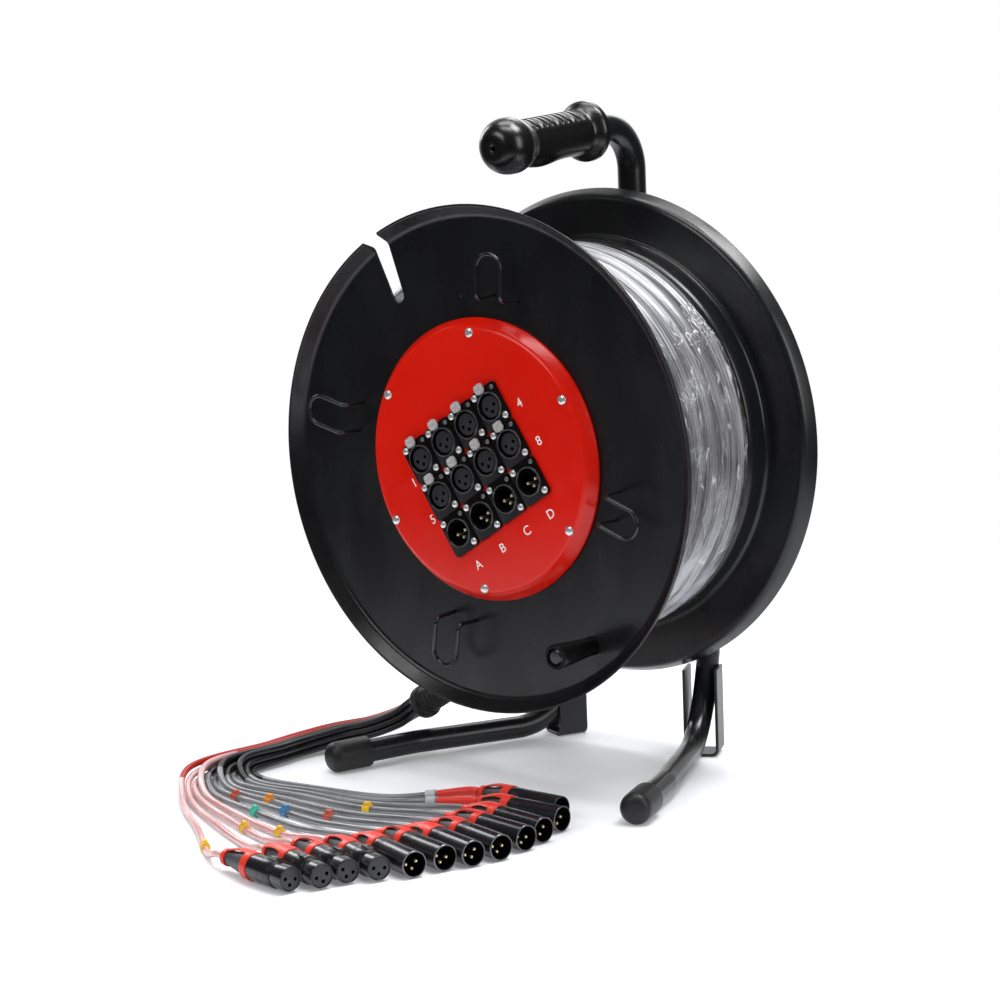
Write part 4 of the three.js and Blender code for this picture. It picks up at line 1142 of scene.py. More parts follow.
def add_pins(shape, tip, side, floor_y, front_y):
    """Three pins with bright round tips and darker sides."""
    nose = [(radius, front_y + drop) for radius, drop in pin_nose]
    for x, z in contact_spots:
        spot = Matrix.Translation((x, 0, z))
        shape.add_turned(nose, 20, tip, place=spot)
        shape.add_turned([nose[-1], (pin_radius, floor_y)], 20, side, place=spot)


print("contacts in a socket:", len(contact_spots))

# %% Input and return sockets
def input_socket():
    shape = socket_body(socket_depth)
    shape.add_mesh(contact_insert("socket_insert", insert_radius, insert_front, 11.5), 1)
    return shape.to_mesh("input_socket", 30.0)


def return_socket():
    shape = socket_body(socket_depth)
    add_pins(shape, 3, 4, socket_depth, socket_depth - pin_length)
    key_section = ((-1.1, 9.3), (1.1, 9.3), (1.1, 8.3), (-1.1, 8.3))
    shape.add_rings([[(x, y, z) for x, z in key_section] for y in (0.4, socket_depth)])
    return shape.to_mesh("return_socket", 30.0)


# this steel is for the lock screws, and it also paints the highlight rings on the sockets
lock_and_edge_highlight_pair = ((0.2, 0.2, 0.205), (0.3, 0.3, 0.31))
lock_steel_and_edge_highlight = grained_finish("lock_steel_and_edge_highlight", lock_and_edge_highlight_pair, (0.18, 0.3), 1500.0, metallic=0.6)
input_mesh, return_mesh = input_socket(), return_socket()
for mesh in (input_mesh, return_mesh):
    for finish in (plastic, insert_rubber, painted_hole_shade, gold_contact, lock_steel_and_edge_highlight):
        mesh.materials.append(finish)
print("faces in an input and a return:", len(input_mesh.polygons), len(return_mesh.polygons))

# %% The twelve sockets
labels = "12345678abcd"
screw_spots = ((-9.5, 12.0), (9.5, -12.0))
lock_spot = (10.0, 0.0, 11.5)
for i, label in enumerate(labels):
    row, column = divmod(i, 4)
    kind, mesh = ("input", input_mesh) if row < 2 else ("return", return_mesh)
    place = connector_place(row, column)
    set_up(f"{kind}_socket_{label}", mesh, [], "drum", [f"{kind}_{label}"], place)
    for k, (x, z) in enumerate(screw_spots):
        screw = f"{kind}_{label}_screw_{k + 1}"
        spin = Matrix.Rotation(math.radians(35 + 61 * i + 90 * k), 4, "Y")
        spot = place @ Matrix.Translation((x, 0.0, z)) @ spin
        set_up(screw, plate_screw, [bright_steel], "drum", place=spot)
    spot = place @ Matrix.Translation(lock_spot)
    set_up(f"{kind}_{label}_lock", lock_screw, [lock_steel_and_edge_highlight], "drum", place=spot)
print("sockets:", len(labels))

# %% [markdown]
# ## Push tabs
# Every input has a bright latch tab above its ring. Pressing it releases the plug.
# Fine ridges keep the finger from slipping. They are too fine for geometry at this distance, so
# a sine along the tab raises them in the finish.

# %% Ridged steel
ridge_pitch = 0.0014


def ridged_steel_finish():
    material, tree, shader = new_material("ridged_steel")
    place = tree.nodes.new("ShaderNodeTexCoord").outputs["Object"]
    parts = tree.nodes.new("ShaderNodeSeparateXYZ")
    tree.links.new(place, parts.inputs[0])
    wave = combine(tree, "MULTIPLY", parts.outputs["Z"], 2 * math.pi / ridge_pitch)
    ridge = combine(tree, "SINE", wave, 0.0)
    wear = spread(tree, noise_of(tree, 300.0, 4.0), 0.0, 1.0)
    worn = blend_colours(tree, wear, (0.74, 0.73, 0.71), (0.6, 0.6, 0.59))
    tree.links.new(worn, shader.inputs["Base Color"])
    tree.links.new(spread(tree, noise_of(tree, 1500.0), 0.2, 0.3), shader.inputs["Roughness"])
    raise_grain(tree, shader, ridge, 0.0003, 1.0)
    shader.inputs["Metallic"].default_value = 0.65
    return material


ridged_steel = ridged_steel_finish()
print("ridges every", ridge_pitch * 1000, "mm")

# %% Tab mesh
tab_half = (4.5, 4.0)
tab_thickness = 1.6
tab_standoff = 1.5
tab_centre = 15.0
stem_half = (2.0, 1.0)


def tab_outline(inset, y):
    """Between an ellipse and a rectangle."""
    points = []
    for c, s in ring_points(1.0, 40):
        x = math.copysign(abs(c) ** 0.7, c) * (tab_half[0] - inset)
        z = math.copysign(abs(s) ** 0.7, s) * (tab_half[1] - inset)
        points.append((x, y, z))
    return points


def push_tab():
    front = -tab_standoff - tab_thickness
    rings = [tab_outline(0.2, -tab_standoff), tab_outline(0.0, -tab_standoff - 0.2)]
    rings += [tab_outline(0.0, front + 0.45), tab_outline(0.15, front + 0.15), tab_outline(0.6, front)]
    shape = Shape().add_rings(rings)
    half_x, half_z = stem_half
    low = -tab_half[1] + half_z + seat_gap
    section = [(half_x * a, low + half_z * b) for a, b in ((-1, -1), (1, -1), (1, 1), (-1, 1))]
    shape.add_rings([[(x, y, z) for x, z in section] for y in (-tab_standoff - 0.5, 0.9)])
    return shape.to_mesh("push_tab")


tab_mesh = push_tab()
for i in range(8):
    row, column = divmod(i, 4)
    place = connector_place(row, column) @ Matrix.Translation((0, 0, tab_centre))
    tab = f"push_tab_{i + 1}"
    set_up(f"{tab}_ridged", tab_mesh, [ridged_steel], tab, [tab], place)
print("push tabs stand off by", tab_standoff, "mm")

# %% [markdown]
# ## Labels
# Plain numbers and letters mark the ends of the rows and the four returns. They are printed on
# the panel, turned with the grid.
# A texture could carry them, but it would blur up close. Blender's own font gives them as thin
# raised text, a tenth of a millimetre over the lacquer.

# %% Printed labels
label_height = 7.2
font_scale = 1.36  # the font's size over the height of its capitals
label_places = [
    ("1", -59.0, 20.6),
    ("4", 64.2, 20.6),
    ("5", -59.0, -10.8),
    ("8", 63.9, -10.8),
    ("A", -39.5, -59.8),
    ("B", -11.8, -60.0),
    ("C", 16.0, -60.2),
    ("D", 42.6, -60.2),
]
print_lift = 0.12
printed_y = plate_thickness + seat_gap - print_lift
upright_print = Matrix.Rotation(math.radians(90), 4, "X")
for text, x, z in label_places:
    curve = bpy.data.curves.new(f"label_{text}", "FONT")
    curve.body = text
    curve.align_x = "CENTER"
    curve.align_y = "CENTER"
    curve.size = label_height / 1000.0 * font_scale
    curve.extrude = 0.00004
    curve.offset = 0.00003
    printed = bpy.data.objects.new(f"label_{text}", curve)
    bpy.context.collection.objects.link(printed)
    printed.matrix_world = at_drum(grid_place @ Matrix.Translation((x, printed_y, z)) @ upright_print)
    curve.materials.append(white_print)
    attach(printed, "drum")
print("labels:", " ".join(text for text, x, z in label_places))

# %% [markdown]
# ## Wire hooks
# Four hooks of bent wire stand on the front flange. The loose cable is hung over them.
# No two of them lean alike, as hooks that are bent and welded by hand do.
# They could be one curve with a bevel. A tube along a route gives the same wire, and its ends
# stay flat on the flange when the loop leans.

# %% Hooks
hook_circle = panel_radius + 17.5
hook_angles = (78, 168, 258, 348)
hook_leans = (9, -3, 5, -8)
hook_wire = 1.6
hook_half = 11.0
hook_standoff = 22.0
hook_length = 34.0
hook_bend = 5.0
arch_steps = 24


def wire_hook(lean):
    """Two legs, a round arch between them, and all of it leaning from the feet on."""
    front_y = face_y - hook_standoff
    foot = (-hook_half, face_y - seat_gap, 0)
    corners = [foot, (-hook_half, front_y, 0), (-hook_half, front_y, hook_length / 2)]
    legs = bent_route(corners, hook_bend, 0.8)
    arch = []
    for k in range(arch_steps + 1):
        turn = math.pi * (1 - k / arch_steps)
        z = hook_length - hook_half + hook_half * math.sin(turn)
        arch.append(Vector((hook_half * math.cos(turn), front_y, z)))
    other = [Vector((-p.x, p.y, p.z)) for p in reversed(legs[:-1])]
    route = []
    for point in [*legs[:-1], *arch, *other]:
        share = min((face_y - point.y) / hook_standoff, 1.0)
        route.append(Matrix.Rotation(math.radians(-lean * share), 3, "Y") @ point)
    return add_tube(Shape(), route, hook_wire, 16).to_mesh("wire_hook", 60.0)


for i, (angle, lean) in enumerate(zip(hook_angles, hook_leans)):
    spot = on_drum(hook_circle, angle, 0)
    place = Matrix.Translation(spot) @ Matrix.Rotation(math.radians(90 - angle), 4, "Y")
    node = f"wire_hook_{i + 1}"
    set_up(f"{node}_wire", wire_hook(lean), [wire_black], "drum", [node], place)
print("hooks on a circle of", 2 * hook_circle, "mm")

# %% [markdown]
# ## The crank
# The crank is a tapered knob that turns on a headed stud near the flange's rim.
# Knob and stud are both turned. A hollow in the knob's end takes the stud's head, and a hexagon
# nut holds the stud behind the flange.

# %% Crank
crank_inset = 29.3
crank_angle = -54.9
crank_spot = on_drum(flange_radius - crank_inset, crank_angle, 0)
knob_length = 44.0
stud_radius = 3.0
stud_head = 6.0
knob_hollow = 3.0


def crank_knob():
    foot, tip = face_y - seat_gap, face_y - knob_length
    bore = stud_radius + 0.4
    profile = [(bore, foot), (7.0, foot), (7.0, foot - 2.5), (6.6, foot - 3.5)]
    profile += [(9.5, tip + 2.0), (9.3, tip + 0.6), (8.6, tip)]
    profile += [(stud_head + 0.5, tip), (stud_head + 0.5, tip + knob_hollow), (bore, tip + knob_hollow)]
    return Shape().add_turned(softened(profile, 0.7, 4, True), 64, closed=True).to_mesh("crank_knob")


def crank_stud():
    head = face_y - knob_length + knob_hollow - seat_gap
    nut = inner_front_y + seat_gap
    profile = [(0, head - 2), (4.6, head - 2), (stud_head, head - 1.2), (stud_head, head)]
    profile += [(stud_radius, head), (stud_radius, nut)]
    shape = Shape().add_turned(softened(profile, 0.3, 2), 48)
    shape.add_rings([[(x, y, z) for x, z in ring_points(stud_head, 6)] for y in (nut, nut + 2.0)])
    return shape.to_mesh("crank_stud")


crank_place = Matrix.Translation(crank_spot)
knob, stud = crank_knob(), crank_stud()
set_up("crank_knob_shell", knob, [plastic], "crank_knob", ["crank_knob"], crank_place)
set_up("crank_stud_steel", stud, [wire_black], "drum", ["crank_stud"], crank_place)
print("crank throw in mm:", round(crank_spot.length, 1))

# %% [markdown]
# ## The stand
# One tube comes from the grip, bends down behind the drum and meets a hoop. The hoop plugs into
# two legs, which run forward along the floor and spread apart.
# Bent tubes could be curves with a bevel too. The route helper puts true arcs in the bends, as a
# tube bender does, and the same corners make the CAD model's tubes.

# %% Stand sizes
upright_y = 119.0
upright_radius = 11.0
upright_bend = 34.0
grip_turn = math.radians(3.24)
grip_height = 235.4
grip_tip_y = -52.0
tube_radius = 9.0
tube_step = 1.5
hoop_top = -60.0
hoop_bend = 34.0
leg_bend = 56.0
toe_bend = 80.0
leg_points = ((65.5, 110, 67), (64.5, 99.5, 10.5), (121.5, -27.5, 12.5), (145, -97, 12.15))


def grip_axis_z(y):
    """Height of the grip's axis, which rises a little toward the rear."""
    return grip_height + (y - (upright_y - upright_bend)) * math.tan(grip_turn)


def leg_corners(side):
    return [over_floor((side * x, y, height)) for x, y, height in leg_points]


def above_leg(side, reach):
    """A place on the leg's line, beyond its upper end."""
    top, heel = leg_corners(side)[:2]
    return top + (top - heel).normalized() * reach


print("corners of the right leg:", leg_points)

# %% Tubes of the stand
tip_y = grip_tip_y + 12.0
upright_corners = [
    (0, tip_y, grip_axis_z(tip_y)),
    (0, upright_y, grip_axis_z(upright_y)),
    (0, upright_y, hoop_top + tube_radius - 2.0),
]
upright_route = bent_route(upright_corners, upright_bend, tube_step)
upright_mesh = add_tube(Shape(), upright_route, upright_radius, 40).to_mesh("upright", 60.0)
set_up("frame_upright_enamel", upright_mesh, [enamel], "stand", ["frame_upright"])
half_hoop = [above_leg(1, seat_gap), above_leg(1, 12.0), Vector((62.0, upright_y, hoop_top))]
hoop_corners = half_hoop + [Vector((-p.x, p.y, p.z)) for p in reversed(half_hoop)]
hoop_route = bent_route(hoop_corners, hoop_bend, tube_step)
hoop_mesh = add_tube(Shape(), hoop_route, tube_radius, 36).to_mesh("hoop", 60.0)
set_up("frame_hoop_enamel", hoop_mesh, [enamel], "stand", ["frame_hoop"])
for side, name in ((-1, "left"), (1, "right")):
    route = bent_route(leg_corners(side), leg_bend, tube_step, toe_bend)
    leg_mesh = add_tube(Shape(), route, tube_radius, 36).to_mesh(f"leg_{name}", 60.0)
    set_up(f"leg_{name}_enamel", leg_mesh, [enamel], "stand", [f"leg_{name}"])
print("stand tubes:", 2 * upright_radius, "and", 2 * tube_radius, "mm across")

# %% [markdown]
# ## Rear brackets
# A stirrup of steel strap goes round the foot of each leg. It holds the hoop and the leg
# together and gives the heel a flat foot.
# A box with its middle cut out would have sharp bends. Here an outer and an inner line are bent
# like tube routes, and the strap's section is laid between them.

# %% Brackets
strap_thickness = 2.4
strap_width = 25.0
strap_top = 69.0
strap_inside = 11.33
strap_edge = 0.5
strap_bend = 3.6
strap_forward = 7.5
strap_place_share = 0.35


def stirrup_line(half_width, low, bend, step):
    """Down one arm, across and up the other, bent at both corners."""
    corners = [(half_width, strap_top), (half_width, low), (-half_width, low), (-half_width, strap_top)]
    return bent_route([(x, 0, z) for x, z in corners], bend, step)


def rear_bracket():
    outer = stirrup_line(strap_inside + strap_thickness, 0, strap_bend + strap_thickness, 0.8)
    inner = stirrup_line(strap_inside, strap_thickness, strap_bend, 0.48)
    half = strap_width / 2
    section = []
    for out, into in zip(outer, inner):
        way = (into - out).normalized() * strap_edge
        near = [(out, half - strap_edge), (out + way, half), (into - way, half), (into, half - strap_edge)]
        ring = [point - Vector((0, y, 0)) for point, y in near]
        ring += [point + Vector((0, y, 0)) for point, y in reversed(near)]
        section.append(ring)
    return Shape().add_rings(section).to_mesh("rear_bracket", 30.0)


bracket_mesh = rear_bracket()
for side, name in ((-1, "left"), (1, "right")):
    top, heel, knee, toe = leg_corners(side)
    forward = (knee - heel).xy.to_3d().normalized()
    spot = top.lerp(heel, strap_place_share)
    spot = Vector((spot.x, spot.y, -drum_height)) + forward * strap_forward
    place = Matrix.Translation(spot) @ Matrix.Rotation(math.atan2(forward.x, -forward.y), 4, "Z")
    node = f"rear_bracket_{name}"
    set_up(f"{node}_strap", bracket_mesh, [strap_steel], "stand", [node], place)
print("strap in mm:", strap_width, "by", strap_thickness)

# %% [markdown]
# ## Foot caps
# A rubber cap on each leg's front end keeps the reel from sliding. It is turned from a profile
# with a round end, and its bore goes in only as far as one can see.

# %% Foot caps
cap_length = 35.0
cap_wall = 4.5
cap_radius = 12.0
cap_bore = 9.2


def aimed_place(start, way):
    """A place with its y axis turned along a direction."""
    turn = Vector((0, 1, 0)).rotation_difference(way).to_matrix().to_4x4()
    return Matrix.Translation(start) @ turn


def foot_cap():
    profile = [(cap_bore, -6.0), (cap_bore, 0.0), (cap_radius - 0.4, 0.0), (cap_radius, -0.6)]
    profile += [(cap_radius, -28.0), (11.4, -31.0), (8.5, -34.2), (4.0, -cap_length), (0.0, -cap_length)]
    return Shape().add_turned(softened(profile, 2.0, 5), 64).to_mesh("foot_cap", 50.0)


cap_mesh = foot_cap()
for side, name in ((-1, "left"), (1, "right")):
    top, heel, knee, toe = leg_corners(side)
    back_way = (knee - toe).normalized()
    place = aimed_place(toe + back_way * (cap_length - cap_wall - seat_gap), back_way)
    cap = f"foot_cap_{name}"
    set_up(f"{cap}_rubber", cap_mesh, [rubber], "stand", [cap], place)
print("caps cover", cap_length - cap_wall, "mm of each leg")

# %% [markdown]
# ## The grip
# The grip is a rubber sleeve pulled over the tube: a round bulb in front with a small vent, a
# swell under the fingers, and a dished guard behind. Its top has raised cross bars and its side
# a pebbled patch.
# The sleeve is turned from a profile and then pushed out where the swell and the bars are. The
# vertex moves keep one closed skin, which a joined ball and bars would not.

# %% Grip
grip_length = 116.0
grip_radius = 17.0
grip_bulb = 21.0


def smooth_step(low, high, value):
    t = min(max((value - low) / (high - low), 0.0), 1.0)
    return t * t * (3 - 2 * t)


def grip_skin(y, turn):
    """Radius of the moulded skin at a place along the grip and round it, with 90 degrees on top."""
    nose = grip_bulb * 0.8
    bulb = math.sqrt(max(1 - ((y - nose) / nose) ** 2, 0)) if y < nose else 1
    radius = grip_bulb * (0.32 + 0.68 * bulb)
    radius += (grip_radius - grip_bulb) * smooth_step(grip_bulb, 36.0, y)
    radius += 6.2 * smooth_step(101.0, 111.0, y) - 2.0 * smooth_step(114.4, 116.0, y)
    below = max(-math.sin(turn), 0.0)
    swell = math.exp(-(((y - 52.0) / 17.0) ** 2)) * below**1.5
    radius += 2.8 * swell
    above = smooth_step(0.55, 0.72, math.sin(turn))
    in_bars = smooth_step(30.0, 34.0, y) * (1 - smooth_step(95.0, 99.0, y))
    bar = smooth_step(0.35, 0.65, 0.5 + 0.5 * math.sin(2 * math.pi * y / 6.4))
    radius += 0.9 * above * in_bars * (bar - 0.35)
    side = smooth_step(0.1, 0.16, math.sin(turn)) * (1 - smooth_step(0.42, 0.48, math.sin(turn)))
    radius -= 0.35 * side * in_bars
    return radius


print("grip radius under the fingers:", round(grip_skin(52.0, -math.pi / 2), 1))

# %% Grip mesh
def handle_grip():
    shape = Shape()
    sides = 120
    vent = ((1.8, 6.0), (1.8, 0.4), (2.3, 0.05))
    rings = [[(x, y, z) for x, z in ring_points(radius, sides)] for radius, y in vent]
    steps = [0.05 + 0.5 * k for k in range(44)] + [22.0 + 0.6 * k for k in range(157)]
    for y in steps:
        y = min(y, grip_length)
        ring = []
        for i in range(sides):
            turn = 2 * math.pi * i / sides
            radius = grip_skin(y, turn)
            ring.append((radius * math.cos(turn), y, radius * math.sin(turn)))
        rings.append(ring)
    rings.append([(x, grip_length - 0.4, z) for x, z in ring_points(upright_radius, sides)])
    return shape.add_rings(rings, capped=(True, False)).to_mesh("handle_grip", 40.0)


tip = (0, grip_tip_y, grip_axis_z(grip_tip_y))
place = Matrix.Translation(tip) @ Matrix.Rotation(grip_turn, 4, "X")
set_up("handle_grip_rubber", handle_grip(), [grip_rubber], "stand", ["handle_grip"], place)
print("grip length in mm:", grip_length)

# %% [markdown]
# ## Axle and bearing
# Behind the drum one sees the axle's head, and a flanged bush that carries the rear flange.
# Plain cylinders would do for all of it. Profiles keep the running gaps of 0.3 mm where the CAD
# model has them, and the edges soft.

# %% Axle and bearing
axle_radius = 8.0
axle_front = 36.0
axle_bore = axle_radius + seat_gap
collar_width = 6.0
collar_front, collar_back = axle_front + seat_gap, axle_front + collar_width + seat_gap
bush_front = axle_front + collar_width + 2 * seat_gap
bush_rear = upright_y - upright_radius - seat_gap


def axle():
    """A pin, a washer behind the upright and a six-sided head."""
    head = upright_y + upright_radius + seat_gap
    pin = [(0, axle_front), (axle_radius, axle_front), (axle_radius, head)]
    washer = [(0, head), (13, head), (13, head + 1.4), (0, head + 1.4)]
    hexagons = ((11.5, head + 1.4), (11.5, head + 5.4), (10.4, head + 6.0))
    shape = Shape().add_turned(softened(pin, 1.0), 48)
    shape.add_turned(softened(washer, 0.4), 48)
    rings = [[(x, y, z) for x, z in ring_points(radius, 6)] for radius, y in hexagons]
    return shape.add_rings(rings).to_mesh("axle_pin")


def hub_bearing():
    """A bush on the axle, with a flange behind the drum."""
    flange = step_face_y + sheet + seat_gap
    profile = [(axle_bore, bush_front), (bearing_radius, bush_front), (bearing_radius, flange)]
    profile += [(28, flange), (28, flange + 3.5), (bearing_radius, flange + 3.5)]
    profile += [(bearing_radius, bush_rear), (axle_bore, bush_rear)]
    return Shape().add_turned(softened(profile, 0.8, 4, True), 64, closed=True).to_mesh("hub_bush")


collar = [(axle_bore, collar_front), (14, collar_front), (14, collar_back), (axle_bore, collar_back)]
collar = Shape().add_turned(softened(collar, 0.5, 3, True), 48, closed=True).to_mesh("axle_collar")
set_up("axle_steel", axle(), [bright_steel], "stand", ["axle"])
set_up("axle_collar_steel", collar, [bright_steel], "stand", ["axle_collar"])
set_up("hub_bearing_steel", hub_bearing(), [strap_steel], "drum", ["hub_bearing"])
print("bearing runs from y =", round(bush_front, 1), "to", round(bush_rear, 1))

# %% [markdown]
# ## The winding
# Seven turns of the trunk lie side by side between the flanges. The inner layers fill the drum
# below them.
# A cable on a drum lies flat against the flange for nearly a whole turn and then steps over by
# its own thickness. One unbroken route does the same here, so that loops fill the drum from
# flange to flange. Small slow waves in its radius keep the loops from looking machined.

# %% Winding
winding_loops = 7
step_over = 0.16
winding_top = 152.0
winding_start = -150.0
winding_radius = winding_top - cable_diameter / 2
winding_first_y = inner_front_y + seat_gap + cable_diameter / 2
winding_last_y = step_face_y - seat_gap - cable_diameter / 2
steps_per_loop = 120
winding_pitch = (winding_last_y - winding_first_y) / (winding_loops - 1)


def winding_route():
    route = []
    for k in range(winding_loops * steps_per_loop):
        turn = k / steps_per_loop
        loop = int(turn)
        share = max(0.0, (turn - loop - 1 + step_over) / step_over)
        if loop == winding_loops - 1:
            share = 0.0
        y = winding_first_y + winding_pitch * (loop + share * share * (3 - 2 * share))
        slack = 0.35 * math.sin(2.3 * turn * 2 * math.pi) + 0.25 * math.sin(0.77 * turn * 2 * math.pi + 1.0)
        route.append(on_drum(winding_radius - 0.6 + slack, winding_start + 360 * turn, y))
    return route


wound = winding_route()
winding_mesh = add_tube(Shape(), wound, cable_diameter / 2 + 0.15, 28).to_mesh("winding", 60.0)
set_up("winding_jacket", winding_mesh, [wound_finish], "drum", ["cable_outer_layer"])
print("wound length in m:", round(route_length(wound) / 1000.0, 2))

# %% Inner layers
def inner_layers():
    """The layers below, as a ribbed body: only their crowns show between the outer loops, in a darker
    jacket that is painted shade.
    """
    from_y, to_y = inner_front_y + seat_gap, step_face_y - seat_gap
    top = winding_radius * math.cos(math.pi / 18) - cable_diameter / 2 - seat_gap
    count = 7
    pitch = (to_y - from_y) / count
    profile = [(core_radius + seat_gap, from_y)]
    for k in range(count):
        for step in range(9):
            share = step / 8
            crown = math.sin(math.pi * share) ** 0.6
            profile.append((top - 5.5 + 5.4 * crown, from_y + pitch * (k + share)))
    profile.append((core_radius + seat_gap, to_y))
    return Shape().add_turned(profile, 144, closed=True).to_mesh("inner_layers", 50.0)


layers = inner_layers()
# painted shade: the inner layers are painted darker than the winding
set_up("inner_layers_jacket", layers, [shaded_inner_jacket], "drum", ["cable_inner_layers"])
print("inner layers reach", round(winding_radius - cable_diameter / 2, 1), "mm from the axle")

# %% [markdown]
# ## The clear film
# The winding is wrapped in clear packing film, torn at one place, with hard wrinkles. The film is a thin
# band that follows the loops and sinks a little between them. A see-through shader alone would leave it
# invisible. What the eye reads are its creases: cells that are pulled long round the winding draw them, and
# they are painted near-white as highlights. A broad noise decides where the film is bunched, and on the
# lower part of the winding the film is painted lighter and hazier, a painted light where the lamp catches
# its folds.

# %% Film finish
film_from = 38.0
film_to = -70.0
torn_edge = math.radians(film_from) * winding_top / 1000.0


def clear_film():
    material, tree, shader = new_material("clear_film")
    shader.inputs["Roughness"].default_value = 0.16
    place = tree.nodes.new("ShaderNodeTexCoord").outputs["UV"]
    stir = noise_at(tree, place, 60.0)
    stirred = tree.nodes.new("ShaderNodeVectorMath")
    stirred.operation = "MULTIPLY_ADD"
    stirred.inputs[1].default_value = (0.02, 0.012, 0.0)
    tree.links.new(stir.outputs["Color"], stirred.inputs[0])
    tree.links.new(place, stirred.inputs[2])
    creases = []
    for stretch, width in (((14.0, 240.0, 1.0), 0.05), ((150.0, 330.0, 1.0), 0.12)):
        drawn_long = stretched(tree, stirred.outputs[0], stretch)
        folds = tree.nodes.new("ShaderNodeTexVoronoi")
        folds.feature = "DISTANCE_TO_EDGE"
        folds.inputs["Scale"].default_value = 1.0
        tree.links.new(drawn_long, folds.inputs["Vector"])
        creases.append(spread(tree, folds.outputs["Distance"], 1.0, 0.0, 0.0, width))
    bunched = noise_at(tree, place, 28.0)
    patch = spread(tree, bunched.outputs["Fac"], 0.0, 0.85, 0.42, 0.66)
    parts = tree.nodes.new("ShaderNodeSeparateXYZ")
    tree.links.new(place, parts.inputs[0])
    torn = spread(tree, parts.outputs["X"], 0.0, 1.0, torn_edge - 0.022, torn_edge - 0.006)
    sparse = spread(tree, bunched.outputs["Fac"], 0.0, 0.7, 0.56, 0.7)
    dense = combine(tree, "MULTIPLY", creases[1], combine(tree, "MAXIMUM", torn, sparse))
    crease_and_highlight = combine(tree, "MAXIMUM", combine(tree, "MULTIPLY", creases[0], 0.6), dense)
    # painted light: the film on the lower part of the winding is painted lighter and hazier where the light
    # catches its folds; above it the film stays darker and brownish
    brown = blend_colours(tree, patch, (0.06, 0.054, 0.048), (0.26, 0.26, 0.27))
    lit_haze = blend_colours(tree, patch, (0.42, 0.42, 0.45), (0.85, 0.85, 0.9))
    way_round = combine(tree, "ADD", parts.outputs["X"], combine(tree, "MULTIPLY", patch, -0.02))
    low = spread(tree, way_round, 1.0, 0.0, -0.1, -0.05)
    tone = blend_colours(tree, low, brown, lit_haze)
    # painted highlight: the creases are painted near-white
    tree.links.new(blend_colours(tree, crease_and_highlight, tone, (0.95, 0.95, 0.98)), shader.inputs["Base Color"])
    folded = spread(tree, crease_and_highlight, 0.42, 0.95, 0.0, 1.0)
    cover = combine(tree, "MAXIMUM", folded, combine(tree, "MULTIPLY", low, 0.66))
    tree.links.new(cover, shader.inputs["Alpha"])
    raise_grain(tree, shader, crease_and_highlight, 0.0012, 0.9)
    shader.inputs["Specular IOR Level"].default_value = 0.9
    return material


film = clear_film()
print("finish:", film.name)

# %% Film bands
def film_band(name, from_angle, to_angle, from_y, to_y, ragged):
    """A thin sheet round part of the winding, from one angle to another."""
    steps_round = max(24, round(abs(to_angle - from_angle) * 1.6))
    steps_across = 72
    shape = Shape()
    rows = []
    for i in range(steps_round + 1):
        share = i / steps_round
        row = []
        for k in range(steps_across + 1):
            across = k / steps_across
            torn = math.sin(across * 23.0) * 0.5 + math.sin(across * 61.0 + 1.3) * 0.3
            torn = ragged * (torn + math.sin(across * 9.0) * 0.6)
            angle = from_angle + (to_angle - from_angle) * share + torn * (1 - share) ** 3
            y = from_y + (to_y - from_y) * across
            loops = 2 * math.pi * (y - winding_first_y) / winding_pitch
            sag = 0.5 - 0.5 * math.cos(loops)
            crumple = 0.2 * math.sin(angle * 0.9 + across * 17) * math.sin(across * 47 + angle * 0.35)
            radius = winding_top + 0.4 - 1.1 * sag + crumple
            row.append((shape.mesh.verts.new(on_drum(radius, angle, y)), angle, y))
        rows.append(row)
    for first, second in zip(rows, rows[1:]):
        for k in range(steps_across):
            corners = (first[k], first[k + 1], second[k + 1], second[k])
            face = shape.mesh.faces.new([corner[0] for corner in corners])
            for loop, (vertex, angle, y) in zip(face.loops, corners):
                loop[shape.along].uv = (math.radians(angle) * winding_top / 1000.0, y / 1000.0)
    band = set_up(name, shape.to_mesh(name, 180.0), [film], "drum")
    band.visible_shadow = False


film_band("film_wrap", film_from, film_to, winding_first_y - 7.0, winding_last_y + 7.0, 7.0)
film_band("film_edge", 78.0, -60.0, winding_first_y - 7.6, winding_first_y + 9.0, 3.0)
print("film wraps", round(film_from - film_to), "degrees of the winding")

# %% [markdown]
# ## The boot
# A moulded boot closes the trunk's jacket where the twelve tails come out. It has a thick rim at
# its mouth and shallow grooves that let it bend.
# The grooves could be cut into a cone. A loop writes them into the profile instead, so that they
# stay even and each is a little narrower than the one before.

# %% Boot
boot_grooves = 5
groove_pitch = 5.6


def breakout_boot():
    profile = [(0.0, 3.0), (11.6, 3.0), (12.0, 0.4), (12.9, 0.0)]
    profile += [(13.3, 1.6), (13.3, 6.4), (12.6, 7.4), (10.8, 9.0)]
    for k in range(boot_grooves):
        y = 13.0 + groove_pitch * k
        width = 10.9 - 0.12 * k
        profile += [(width, y - 1.6), (width - 0.8, y - 0.9), (width - 0.8, y + 0.1), (width, y + 0.8)]
    profile += [(10.6, 38.5), (9.7, 44.0), (9.0, boot_length), (0.0, boot_length)]
    return Shape().add_turned(softened(profile, 0.7, 3), 72).to_mesh("breakout_boot", 50.0)


boot_mesh = breakout_boot()
place = aimed_place(boot_mouth + boot_back * seat_gap, boot_back)
set_up("breakout_boot_rubber", boot_mesh, [rubber], "stand", ["breakout_boot"], place)
print("boot length in mm:", boot_length)

# %% [markdown]
# ## Cable plugs
# The sends end in male plugs: a smooth black shell with a thin bright edge, three gold pins
# inside, three fine grooves and a red ring in front of a grey clamp. The returns end in female
# plugs with a grey face, three holes and a latch button.
# Eight plugs start from one mesh and four from another. Each copy is turned to its own place, and
# rolled a little, as plugs lie that somebody has put down.

